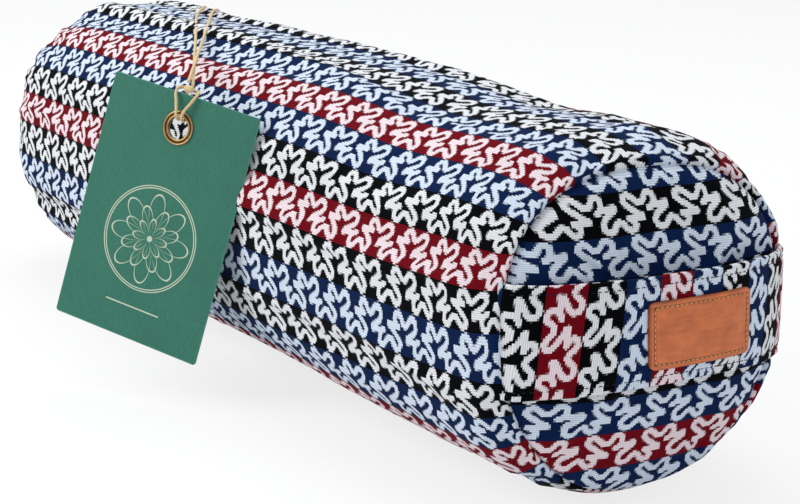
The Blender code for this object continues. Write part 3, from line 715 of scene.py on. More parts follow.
@dataclass(frozen=True)
class Form:
    """The bolster's stuffed form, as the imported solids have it, with the front end's slight lean."""

    half_length: float = 0.325
    width: float = 0.220
    height: float = 0.217
    squareness: float = 2.15
    swell: float = 0.0065
    swell_towards: float = math.radians(135.0)
    crown_fullness: float = 2.6
    centre: float = 0.108
    lean_across: float = math.tan(math.radians(6.292))
    lean_up: float = math.tan(math.radians(-4.764))
    lean_start: float = 0.235
    back_draw: float = 0.0022
    foot_draw: float = 0.0075
    foot_lift: float = 0.0036
    back_swell: float = 0.0075
    slump: float = 0.0042
    slump_at: float = 0.185
    slump_width: float = 0.05
    tuck: float = 0.0034
    tuck_towards: float = math.radians(-115.0)
    tuck_width: float = 0.55
    rear_draw: float = 0.0045
    rear_lean: float = 0.08
    seam_drop: float = 0.5

    def oval(self, angle: float, half_width: float, half_height: float, square: float) -> tuple[float, float]:
        """Width and height of a squared oval at an angle counted from +Y towards +Z."""
        power = 2 / square
        cosine = math.cos(angle)
        sine = math.sin(angle)
        across = math.copysign(abs(cosine) ** power, cosine) * half_width
        up = math.copysign(abs(sine) ** power, sine) * half_height
        return across, up

    def angle_at(self, height: float) -> float:
        """The angle from +Y at which the body's side is a height above its centre line."""
        return math.asin((height / (self.height / 2)) ** (self.squareness / 2))

    def crown(self, end: EndShape, share: float) -> float:
        """How far the round end panel stands out, at a share of its radius."""
        return end.crown * (1 - share**self.crown_fullness)

    def point(self, end: EndShape, along: float, angle: float, inset: float = 0.0) -> Vector:
        """A point of the bolster's skin, or of a layer that lies inset below it.

        Args:
            end: The end that the point belongs to.
            along: 0 at mid length, 1 where the end starts to round, 2 at the seam, 3 at the pole.
            angle: Radians from +Y towards +Z.
            inset: How deep below the skin.

        Returns:
            The point, before the lean.
        """
        length = self.half_length - inset
        straight = length - end.rounding
        turn = clamp(along - 1) * math.pi / 2
        seam_share = 1 - math.cos(turn)
        radius_share = min(1, 3 - along)
        x = min(along, 1) * straight + end.rounding * math.sin(turn)
        if along > 2:
            x += self.crown(end, radius_share)
        towards = (0.5 + 0.5 * math.cos(angle - self.swell_towards)) ** 2
        drop = self.swell * (x / self.half_length) ** 2 * towards
        body_y, body_z = self.oval(
            angle, self.width / 2 - inset - drop, self.height / 2 - inset - drop, self.squareness
        )
        seam_y, seam_z = self.oval(
            angle, end.seam_width / 2 - inset, end.seam_height / 2 - inset, end.squareness
        )
        y = mix(body_y, seam_y, seam_share) * radius_share
        z = mix(body_z, seam_z, seam_share) * radius_share + end.seam_rise * seam_share
        return Vector((end.sign * x, y, max(self.centre + z, inset)))

    def at(self, along: float, angle: float, inset: float = 0.0) -> Vector:
        """A point of the leaning form. along is below 0 towards the rear end."""
        end = FRONT if along >= 0 else REAR
        return self.lean(self.point(end, abs(self.lowered(along, angle)), angle, inset))

    def lowered(self, along: float, angle: float) -> float:
        """The place along the form, moved where the front seam runs lower under the end."""
        low = clamp((-math.sin(angle) - 0.45) / 0.55) ** 2
        reach = clamp((along - 0.6) / 1.4) if along < 2 else 3 - along
        return along - self.seam_drop * low * reach

    def lean(self, point: Vector) -> Vector:
        """A point moved with the front end's lean, the rear end's tilt and the tucked underside."""
        share = smooth(self.lean_start, self.half_length, point.x)
        rear = smooth(self.lean_start, self.half_length, -point.x)
        height = point.z - self.centre
        shift = self.lean_across * point.y + self.lean_up * height
        low = clamp(-height / self.centre)
        high = clamp(height / self.centre)
        back = clamp(point.y / (self.width / 2))
        y = point.y - share * back * (self.back_draw + self.foot_draw * low - self.back_swell * high)
        slump = self.slump * bell(point.x - self.slump_at, self.slump_width) * high
        turn = math.atan2(height, point.y) - self.tuck_towards
        tuck = self.tuck * (1 - share) * bell(math.remainder(turn, math.tau), self.tuck_width)
        rise = share * self.foot_lift * low * (1 + 2 * back) - slump - tuck * height / self.centre
        x = point.x + share * shift + rear * (self.rear_draw - self.rear_lean * height)
        return Vector((x, y * (1 - tuck / self.centre), point.z + rise))

    def along(self, x: float, inset: float = 0.0) -> float:
        """The signed place along the form at an x of the side panel."""
        end = FRONT if x >= 0 else REAR
        straight = self.half_length - inset - end.rounding
        if abs(x) <= straight:
            return x / straight
        turn = math.asin(min(1, (abs(x) - straight) / end.rounding))
        return end.sign * (1 + turn / (math.pi / 2))

    def skin(self, x: float, angle: float, inset: float = 0.0) -> Vector:
        """A point of the side panel by its x, without the lean, as the solids have it."""
        end = FRONT if x >= 0 else REAR
        return self.point(end, abs(self.along(x, inset)), angle, inset)

    def skin_normal(self, x: float, angle: float) -> Vector:
        """The outward direction of the side panel without the lean."""
        step = 0.001
        along = self.skin(x + step, angle) - self.skin(x - step, angle)
        around = self.skin(x, angle + step) - self.skin(x, angle - step)
        return around.cross(along).normalized()

    def outward(self, along: float, angle: float) -> Vector:
        """The outward direction of the leaning form."""
        step = 0.004
        low = clamp(along - step, -3 + step, 3 - 2 * step)
        run = self.at(low + 2 * step, angle) - self.at(low, angle)
        middle = clamp(along, -2.97, 2.97)
        around = self.at(middle, angle + step) - self.at(middle, angle - step)
        return around.cross(run).normalized()

    def surface_x(self, along: float) -> float:
        """The distance along the cloth from mid length, with the sign of x."""
        end = FRONT if along >= 0 else REAR
        straight = self.half_length - end.rounding
        reach = min(abs(along), 1) * straight + clamp(abs(along) - 1) * end.rounding * 1.4
        return end.sign * reach

    def seam_distance(self, along: float) -> float:
        """How far a place on the cloth is from its nearer end seam."""
        end = FRONT if along >= 0 else REAR
        if abs(along) >= 2:
            return (abs(along) - 2) * end.seam_width / 2
        return (self.half_length - end.rounding) * max(0, 1 - abs(along)) + (
            end.rounding * 1.5 * min(1, 2 - abs(along))
        )


FORM = Form()


def grid_shape(
    columns: int,
    rows: int,
    place: Callable[[float, float], Vector],
    fabric: Callable[[float, float], tuple[float, float]] | None = None,
) -> Shape:
    """A grid laid over a surface.

    Args:
        columns: Faces along the first way.
        rows: Faces along the second way.
        place: Gives the point for two grid numbers, counted in columns and rows.
        fabric: Gives the fabric map for the same two numbers.

    Returns:
        The shape, with its doubles merged.
    """
    shape = bmesh.new()
    layer = shape.loops.layers.uv.new(FABRIC_MAP)
    bmesh.ops.create_grid(shape, x_segments=columns, y_segments=rows, size=0.5)
    for vertex in shape.verts:
        column = (vertex.co.x + 0.5) * columns
        row = (vertex.co.y + 0.5) * rows
        for loop in vertex.link_loops:
            if fabric:
                loop[layer].uv = fabric(column, row)
        vertex.co = place(column, row)
    bmesh.ops.remove_doubles(shape, verts=shape.verts, dist=WELD)
    return shape


def as_object(name: str, shape: Shape, material: Material) -> Object:
    """Makes an object of a shape, with its place in its mesh.

    Args:
        name: The piece's name.
        shape: The finished shape, which is freed.
        material: Its finish.

    Returns:
        The object, linked to the scene.
    """
    mesh = bpy.data.meshes.new(name)
    shape.to_mesh(mesh)
    shape.free()
    mesh.materials.append(material)
    mesh.shade_smooth()
    thing = bpy.data.objects.new(name, mesh)
    link(thing)
    return thing


def link(thing: Object) -> None:
    """Puts an object into the scene."""
    bpy.context.scene.collection.objects.link(thing)


def settle(thing: Object, body: Body, slot: Slot, *nodes: str) -> Object:
    """Says which body a piece rides on and which nodes it stands for."""
    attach(thing, body.value)
    if nodes:
        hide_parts(*nodes)
    LOG.info("%s rides on %s", thing.name, body.value)
    return thing


def open_edges(shape: Shape) -> list[bmesh.types.BMEdge]:
    """The edges where a shape's skin ends."""
    return [edge for edge in shape.edges if edge.is_boundary]


def seal(shape: Shape) -> None:
    """Closes a shape's open ends and turns its faces outwards."""
    bmesh.ops.holes_fill(shape, edges=open_edges(shape), sides=0)
    face_outwards(shape)


def face_outwards(shape: Shape) -> None:
    """Turns every face of a closed shape outwards."""
    bmesh.ops.recalc_face_normals(shape, faces=shape.faces)


def face_towards(shape: Shape, probe: bmesh.types.BMFace, out: Vector) -> None:
    """Turns an open shape over if one of its faces looks against the way out."""
    if probe.normal.dot(out) < 0:
        bmesh.ops.reverse_faces(shape, faces=shape.faces)


def from_centre(face: bmesh.types.BMFace) -> Vector:
    """The way to a face from the bolster's centre."""
    return face.calc_center_median() - Vector((0.0, 0.0, FORM.centre))


def drawn_out(shape: Shape, edges: list[bmesh.types.BMEdge]) -> list[bmesh.types.BMVert]:
    """Draws a new strip of faces out of some edges and gives its corners, to be placed."""
    strip = bmesh.ops.extrude_edge_only(shape, edges=edges)
    return [item for item in strip["geom"] if isinstance(item, bmesh.types.BMVert)]


def curve_route(points: Sequence[Vector], step: float) -> list[Vector]:
    """Points about a step apart on a smooth curve through the route's own points.

    Args:
        points: The route.
        step: The wanted distance.

    Returns:
        The evenly spaced points.
    """
    ends = [2 * points[0] - points[1], *points, 2 * points[-1] - points[-2]]
    dense = []
    for before, start, stop, after in zip(ends, ends[1:], ends[2:], ends[3:]):
        for index in range(16):
            t = index / 16
            square = (2 * before - 5 * start + 4 * stop - after) * t**2
            cube = (3 * start - before - 3 * stop + after) * t**3
            dense.append(0.5 * (2 * start + (stop - before) * t + square + cube))
    dense.append(points[-1])
    lengths = lengths_along(dense)
    count = max(2, round(lengths[-1] / step))
    route = []
    index = 0
    for number in range(count + 1):
        wanted = lengths[-1] * number / count
        while index < len(dense) - 2 and lengths[index + 1] < wanted:
            index += 1
        share = (wanted - lengths[index]) / (lengths[index + 1] - lengths[index])
        route.append(dense[index].lerp(dense[index + 1], share))
    return route


def lengths_along(points: Sequence[Vector]) -> list[float]:
    """How far along their line each point is."""
    steps = ((second - first).length for first, second in zip(points, points[1:]))
    return list(accumulate(steps, initial=0.0))


def route_length(points: Sequence[Vector]) -> float:
    """The length of a line through points."""
    return lengths_along(points)[-1]


@dataclass
class Twist:
    """A two-ply cord twisted from two strands, as a tube along a route."""

    diameter: float = 0.0022
    sides: int = 14
    turn_length: float = 0.0055
    lobe: float = 0.11
    step: float = 0.0011

    def frames(self, points: Sequence[Vector]) -> list[tuple[Vector, Vector, Vector]]:
        """Points on the route, each with two directions across it that don't spin.

        Args:
            points: The evenly spaced route.

        Returns:
            Each point with its first and second direction across.
        """
        side = Vector((0.0, 0.0, 1.0))
        frames = []
        for index, point in enumerate(points):
            ahead = points[min(index + 1, len(points) - 1)]
            behind = points[max(index - 1, 0)]
            run = (ahead - behind).normalized()
            side = side - run * side.dot(run)
            if side.length < 1e-4:
                side = run.orthogonal()
            side.normalize()
            frames.append((point, side.copy(), run.cross(side)))
        return frames

    def tube(self, route: Sequence[Vector]) -> Shape:
        """The cord's closed skin.

        Args:
            route: Points that the cord follows.

        Returns:
            The shape, with its ends closed.
        """
        points = curve_route(route, self.step)
        frames = self.frames(points)
        pace = route_length(points) / (len(points) - 1)

        def place(column: float, row: float) -> Vector:
            """The skin's point at a cross-section and a side."""
            centre, across, up = frames[round(column)]
            angle = math.tau * row / self.sides
            spin = math.tau * column * pace / self.turn_length
            radius = self.diameter / 2 * (1 - self.lobe + self.lobe * math.cos(2 * (angle - spin)))
            return centre + (across * math.cos(angle) + up * math.sin(angle)) * radius

        def fabric(column: float, row: float) -> tuple[float, float]:
            """Metres along the cord and turns round it."""
            return column * pace, row / self.sides

        shape = grid_shape(len(points) - 1, self.sides, place, fabric)
        seal(shape)
        return shape


@dataclass
class Stitching:
    """Short thread stitches, all of one sewn line in one piece."""

    length: float
    thickness: float
    sunk: float = 0.35

    def shape(self, seats: Sequence[tuple[Vector, Vector, Vector]]) -> Shape:
        """The stitches as small rounded threads.

        Args:
            seats: Each stitch's middle, its run and the way out of the cloth.

        Returns:
            One shape with every stitch.
        """
        shape = bmesh.new()
        for middle, run, out in seats:
            run = run.normalized()
            out = (out - run * out.dot(run)).normalized()
            turn = Matrix((out, run.cross(out), run)).transposed().to_4x4()
            scale = Matrix.Diagonal((self.thickness / 2, self.thickness / 2, self.length / 2, 1.0))
            lift = self.thickness * (0.5 - self.sunk)
            bmesh.ops.create_uvsphere(
                shape,
                u_segments=7,
                v_segments=5,
                radius=1.0,
                matrix=Matrix.Translation(middle + out * lift) @ turn @ scale,
            )
        return shape


@dataclass
class Relief:
    """How the filled cloth leaves its smooth form: slack from simulation, lumps, puckers and seams."""

    coarse_rows: int = 96
    straight_steps: int = 34
    cap: float = 0.0022
    gain: float = 0.8
    pressure: float = 4.0
    frames: int = 20
    slack: float = -0.05
    seam_depth: float = 0.0019
    seam_width: float = 0.0024
    pucker_rise: float = 0.0017
    radius: float = 0.105
    tight_pitch: float = 0.010
    tight_reach: float = 0.011
    tight_share: float = 0.75
    broad_pitch: float = 0.024
    broad_reach: float = 0.028
    settle_reach: float = 0.0035
    calm_reach: float = 0.010
    gather_reach: float = 0.030
    lump_scale: float = 13.0
    lump_rise: float = 0.0013
    dimple_scale: float = 34.0
    dimple_rise: float = 0.0005
    table: list[list[float]] = field(default_factory=list)

    def stations(self) -> list[float]:
        """Places along the form for the coarse skin, closer together near the seams."""
        straight = [index / self.straight_steps for index in range(self.straight_steps)]
        rounded = [1 + index / 7 for index in range(7)]
        crown = [2.0, 2.06, 2.14, 2.24, 2.36, 2.5, 2.64, 2.78, 2.9, 3.0]
        half = straight + rounded + crown
        return [-value for value in reversed(half[1:])] + half

    def simulate(self) -> None:
        """Blows the closed cloth out against its seams and keeps how far each point rose.

        The cloth near the seams is a little too long, as gathered cloth is, so it folds there.
        """
        places = self.stations()
        columns = len(places) - 1
        rows = self.coarse_rows

        def place(column: float, row: float) -> Vector:
            """A point of the coarse skin."""
            along = places[round(column)]
            return FORM.at(along, math.tau * row / rows)

        shape = grid_shape(columns, rows, place)
        skin = as_object("cloth_under_pressure", shape, bpy.data.materials.new("trial"))
        pinned = skin.vertex_groups.new(name="sewn")
        loose = skin.vertex_groups.new(name="gathered")
        starts = [vertex.co.copy() for vertex in skin.data.vertices]
        finder = kdtree.KDTree(len(starts))
        for index, start in enumerate(starts):
            finder.insert(start, index)
        finder.balance()
        for column, along in enumerate(places):
            for row in range(rows):
                index = finder.find(place(column, row))[1]
                near = math.exp(-FORM.seam_distance(along) / self.gather_reach)
                on_zip = abs(along) < 0.8 and min(row, rows - row) <= 1
                if abs(abs(along) - 2) < 1e-6 or on_zip:
                    pinned.add([index], 1.0, "REPLACE")
                loose.add([index], near, "REPLACE")
        cloth = skin.modifiers.new("filled", "CLOTH")
        settings = {
            "quality": 5,
            "mass": 0.3,
            "vertex_group_mass": pinned.name,
            "use_pressure": True,
            "uniform_pressure_force": self.pressure,
            "tension_stiffness": 25,
            "compression_stiffness": 25,
            "bending_stiffness": 0.4,
            "shrink_min": 0.0,
            "shrink_max": self.slack,
            "vertex_group_shrink": loose.name,
        }
        for name, value in settings.items():
            setattr(cloth.settings, name, value)
        cloth.settings.effector_weights.gravity = 0.0
        cloth.point_cache.frame_start = 1
        cloth.point_cache.frame_end = self.frames
        scene = bpy.context.scene
        for number in range(1, self.frames + 1):
            scene.frame_set(number)
        graph = bpy.context.evaluated_depsgraph_get()
        blown = skin.evaluated_get(graph).data
        rises = []
        for column, along in enumerate(places):
            line = []
            for row in range(rows):
                angle = math.tau * row / rows
                index = finder.find(place(column, row))[1]
                move = blown.vertices[index].co - starts[index]
                line.append(move.dot(FORM.outward(along, angle)))
            rises.append(line)
        scene.frame_set(1)
        mesh = skin.data
        bpy.data.objects.remove(skin, do_unlink=True)
        bpy.data.meshes.remove(mesh)
        self.table = [self.levelled(rises, column) for column in range(len(places))]
        spread = max(abs(value) for line in self.table for value in line)
        LOG.info("simulated cloth folds up to %.1f mm", spread / MM)

    def levelled(self, rises: list[list[float]], column: int) -> list[float]:
        """One ring's rise with the even swelling taken out and the rest capped.

        Args:
            rises: The rise of every point.
            column: The ring.

        Returns:
            The ring's folds.
        """
        count = len(rises[column])
        line = []
        for row in range(count):
            window = [
                rises[min(max(column + step, 0), len(rises) - 1)][(row + turn) % count]
                for step in (-2, 0, 2)
                for turn in range(-6, 7)
            ]
            value = (rises[column][row] - sum(window) / len(window)) * self.gain
            line.append(clamp(value, -self.cap, self.cap))
        return line

    def fold(self, along: float, angle: float) -> float:
        """The simulated rise at any place, on a smooth curve through the rings' points."""
        places = self.stations()
        high = bisect_right(places, along, 1, len(places) - 1)
        share = smooth(places[high - 1], places[high], along)
        rows = self.coarse_rows
        turn = (angle / math.tau * rows) % rows
        first = int(turn)
        part = smooth(0.0, 1.0, turn - first)
        ring_low, ring_high = self.table[high - 1], self.table[high]
        second = (first + 1) % rows
        start = mix(ring_low[first % rows], ring_low[second], part)
        stop = mix(ring_high[first % rows], ring_high[second], part)
        return mix(start, stop, share)

    def rise(self, along: float, angle: float, point: Vector) -> float:
        """How far the cloth stands out from the smooth form.

        Args:
            along: The signed place along the form.
            angle: Radians from +Y towards +Z.
            point: The smooth form's point there.

        Returns:
            Metres outwards, less than 0 in a seam.
        """
        near = FORM.seam_distance(along)
        sign = 1.0 if along >= 0 else -1.0
        circle = Vector((math.cos(angle), math.sin(angle), 0.0))
        tight_at = circle * (self.radius / self.tight_pitch) + Vector((0.0, 0.0, 7.3 * sign + near * 18))
        broad_at = circle * (self.radius / self.broad_pitch) + Vector((4.1, 0.0, 3.7 * sign + near * 9))
        tight = noise.noise(tight_at) * math.exp(-near / self.tight_reach) * self.tight_share
        pucker = tight + noise.noise(broad_at) * math.exp(-near / self.broad_reach)
        settled = 1 - math.exp(-near / self.settle_reach)
        lumps = noise.noise(point * self.lump_scale + Vector((2.0, 5.0, 1.0))) * self.lump_rise
        lumps += noise.noise(point * self.dimple_scale) * self.dimple_rise
        on_floor = smooth(0.004, 0.022, point.z)
        on_zip = 1.0 if abs(along) > 0.86 else smooth(0.10, 0.32, 1 - math.cos(angle))
        seam = self.seam_depth * bell(near, self.seam_width)
        body = (self.fold(along, angle) + lumps) * min(1, near / self.calm_reach)
        return (body + pucker * self.pucker_rise * settled) * on_floor * on_zip - seam


@dataclass
class Cover:
    """The outer cover: a side panel with its zip slot, and two round end panels."""

    material: Material
    thread: Material
    relief: Relief
    rows: int = 288
    turn_in: float = 0.0045
    slot_reach: float = 0.222
    slot_row: int = 2
    slot_half: float = 0.0068
    behind: float = 0.1
    hem: float = 0.0016
    stitch_pitch: float = 0.003
    stitch_out: float = 0.0032
    floor_gap: float = 0.0004
    step: float = 0.0035
    near_seam: tuple[float, ...] = (0.0, 0.3, 0.55, 0.72, 0.82, 0.89, 0.94, 0.975, 1.0)
    side_repeat_mm: float = 34.0
    side_start_mm: float = 286.7
    side_start: float = 0.40
    stripe_degrees: float = 12.6
    stripe_start: float = 124.6
    stripe_twist: float = 11.5
    end_repeat_mm: float = 34.4
    end_start_mm: float = 54.8
    end_start: float = 0.256
    end_stripe_mm: float = 22.1
    end_top_mm: float = 186.8

    def angle(self, row: float) -> float:
        """The angle of a lengthwise line of the side panel, with two lines on the slot's edges."""
        turn = (row + self.rows / 2) % self.rows - self.rows / 2
        size = abs(turn)
        edge = FORM.angle_at(self.slot_half)
        even = math.tau / self.rows
        knots = [(0, 0.0), (self.slot_row, edge), (self.slot_row + 3, even * (self.slot_row + 3))]
        if size >= knots[-1][0]:
            return turn * even
        for (low, first), (high, second) in zip(knots, knots[1:]):
            if size <= high:
                return math.copysign(mix(first, second, (size - low) / (high - low)), turn)
        return turn * even

    def skin(self, along: float, angle: float, sink: float = 0.0) -> Vector:
        """A point of the cloth's outer face, or one turned in below it.

        Args:
            along: The signed place along the form.
            angle: Radians from +Y towards +Z.
            sink: How deep it is turned in.

        Returns:
            The point, never below the floor.
        """
        point = FORM.at(along, angle)
        rise = self.relief.rise(along, angle, point)
        moved = point + FORM.outward(along, angle) * (rise - sink)
        moved.z = max(moved.z, self.floor_gap)
        return moved

    def side_stations(self) -> list[tuple[float, float]]:
        """Places along the side panel, each with how deep it is turned in."""
        front, rear = self.half_stations(1, 83), self.half_stations(-1, 81)
        middle = [(value, 0.0) for value in [*reversed(rear), 0.0, *front]]
        return [(-2.0, self.turn_in), *middle, (2.0, self.turn_in)]

    def half_stations(self, sign: int, count: int) -> list[float]:
        """Places from mid length to one seam, with one of them on the slot's end."""
        straight = [FORM.along(sign * self.step * index) for index in range(1, count)]
        slot = FORM.along(sign * self.slot_reach)
        nearest = min(range(len(straight)), key=lambda index: abs(straight[index] - slot))
        straight[nearest] = slot
        return straight + [sign * (1 + share) for share in self.near_seam]

    def side_map(self, along: float, row: float) -> tuple[float, float]:
        """Where a place of the side panel lies on the woven stripes.

        Args:
            along: The signed place along the form.
            row: The lengthwise line, from 0 at the zip up over the top.

        Returns:
            Repeats along the stripe and stripes across.
        """
        degrees = math.degrees(self.angle(row)) % 360
        if row >= self.rows / 2 and degrees < 90:
            degrees += 360
        x = FORM.surface_x(FORM.lowered(along, math.radians(degrees)))
        repeats = -(x / MM - self.side_start_mm) / self.side_repeat_mm + self.side_start
        stripes = (degrees - self.stripe_start + self.stripe_twist * x) / self.stripe_degrees + 1.5
        return repeats, stripes

    def build_side(self) -> Object:
        """Makes the side panel, with its ends turned in and its zip edges hemmed."""
        stations = self.side_stations()

        def place(column: float, row: float) -> Vector:
            """A point of the side panel."""
            along, sink = stations[round(column)]
            return self.skin(along, self.angle(row), sink)

        def fabric(column: float, row: float) -> tuple[float, float]:
            """Its place on the stripes."""
            return self.side_map(stations[round(column)][0], row)

        shape = grid_shape(len(stations) - 1, self.rows, place, fabric)
        self.open_slot(shape)
        probe = shape.faces[:][0]
        face_towards(shape, probe, from_centre(probe))
        return as_object("cover_side_panel_cloth", shape, self.material)

    def open_slot(self, shape: Shape) -> None:
        """Opens the zip slot and turns its edges in."""
        inside = []
        for face in shape.faces:
            middle = face.calc_center_median()
            in_reach = abs(middle.x) < self.slot_reach and abs(middle.z - FORM.centre) < self.slot_half
            if in_reach and middle.y > self.behind:
                inside.append(face)
        bmesh.ops.delete(shape, geom=inside, context="FACES")
        edges = []
        for edge in open_edges(shape):
            middle = (edge.verts[0].co + edge.verts[1].co) / 2
            if abs(middle.x) < self.slot_reach + 0.001 and middle.y > self.behind:
                edges.append(edge)
        for vertex in drawn_out(shape, edges):
            vertex.co.y -= self.hem
            vertex.co.z -= math.copysign(0.0002, vertex.co.z - FORM.centre)

    def end_stations(self, end: EndShape) -> list[tuple[float, float]]:
        """Places from the seam to the pole of a round panel, each with how deep it is turned in."""
        shares = [0.0, 0.012, 0.026, 0.043, 0.064, 0.09, 0.12]
        shares += [0.12 + 0.88 * (index / 26) for index in range(1, 27)]
        return [(end.sign * 2.0, self.turn_in)] + [(end.sign * (2 + share), 0.0) for share in shares]

    def build_end(self, name: str, end: EndShape) -> Object:
        """Makes a round end panel, with its rim turned in.

        Args:
            name: The piece's name.
            end: The end that it closes.

        Returns:
            The panel.
        """
        stations = self.end_stations(end)

        def place(column: float, row: float) -> Vector:
            """A point of the panel."""
            along, sink = stations[round(column)]
            angle = math.tau * row / self.rows
            point = self.skin(along, angle)
            if abs(along) > POLE:
                point = self.skin(along, 0.0)
            if sink:
                rim = self.skin(end.sign * 2.03, angle)
                point = point.lerp(rim, 0.3)
                point.x -= end.sign * sink
            return point

        shape = grid_shape(len(stations) - 1, self.rows, place)
        layer = shape.loops.layers.uv[FABRIC_MAP]
        for vertex in shape.verts:
            across = (vertex.co.y / MM + self.end_start_mm) / self.end_repeat_mm + self.end_start
            up = (vertex.co.z / MM - self.end_top_mm) / self.end_stripe_mm
            for loop in vertex.link_loops:
                loop[layer].uv = (across * end.sign, up)
        probe = max(shape.faces, key=lambda face: abs(face.calc_center_median().x))
        face_towards(shape, probe, Vector((end.sign, 0.0, 0.0)))
        return as_object(name, shape, self.material)

    def build_zip_stitches(self) -> Object:
        """Makes the two sewn lines that hold the tapes behind the slot's edges."""
        seats = []
        count = round(2 * self.slot_reach / self.stitch_pitch)
        for side in (1, -1):
            angle = side * FORM.angle_at(self.slot_half + self.stitch_out)
            for index in range(count + 1):
                along = FORM.along(-self.slot_reach + index * self.stitch_pitch)
                seats.append((self.skin(along, angle), Vector((1, 0, 0)), Vector((0, 1, 0))))
        shape = Stitching(0.0022, 0.00045).shape(seats)
        return as_object("zip_seam_stitches", shape, self.thread)

    def build(self) -> None:
        side = settle(self.build_side(), Body.BOLSTER, Slot.JACQUARD, "cover_side_panel")
        front = self.build_end("cover_end_front_cloth", FRONT)
        rear = self.build_end("cover_end_rear_cloth", REAR)
        settle(front, Body.BOLSTER, Slot.JACQUARD, "cover_end_front")
        settle(rear, Body.BOLSTER, Slot.JACQUARD, "cover_end_rear")
        settle(self.build_zip_stitches(), Body.BOLSTER, Slot.JACQUARD)


@dataclass
class InnerCase:
    """The sewn cotton case inside the cover, and the husks that fill it."""

    cotton: Material
    husk: Material
    rows: int = 72
    case_inset: float = 0.0052
    fill_inset: float = 0.0075
    crease_scale: float = 55.0
    crease_rise: float = 0.0007
    slack: float = 0.0008

    def panel(self, name: str, places: Sequence[float], inset: float, material: Material) -> Object:
        """Makes one closed-up panel or filling below the cover.

        Args:
            name: The piece's name.
            places: Signed places along the form.
            inset: How deep below the cover's face.
            material: Its finish.

        Returns:
            The piece.
        """

        def place(column: float, row: float) -> Vector:
            """A point of the layer."""
            along = places[round(column)]
            angle = math.tau * row / self.rows
            if abs(along) > POLE:
                angle = 0.0
            point = FORM.at(along, angle, inset)
            crease = noise.noise(point * self.crease_scale) * self.crease_rise
            return point + FORM.outward(along, angle) * (crease - self.slack)

        shape = grid_shape(len(places) - 1, self.rows, place)
        probe = max(shape.faces, key=lambda face: from_centre(face).length)
        face_towards(shape, probe, from_centre(probe))
        return as_object(name, shape, material)

    def build(self) -> None:
        straight = [index / 20 for index in range(-20, 21)]
        rounded = [1.25, 1.5, 1.75, 2.0]
        crown = [2.0, 2.1, 2.25, 2.45, 2.7, 3.0]
        side = [-value for value in reversed(rounded)] + straight + rounded
        whole = [-value for value in reversed(crown[1:])] + side + crown[1:]
        layers = (
            ("liner_side_panel", side, self.case_inset, self.cotton, Slot.COTTON),
            ("liner_end_front", crown, self.case_inset, self.cotton, Slot.COTTON),
            ("liner_end_rear", [-value for value in crown], self.case_inset, self.cotton, Slot.COTTON),
            ("husk_fill", whole, self.fill_inset, self.husk, Slot.HUSK),
        )
        for node, places, inset, material, slot in layers:
            piece = self.panel(node + "_soft", places, inset, material)
            settle(piece, Body.BOLSTER, slot, node)


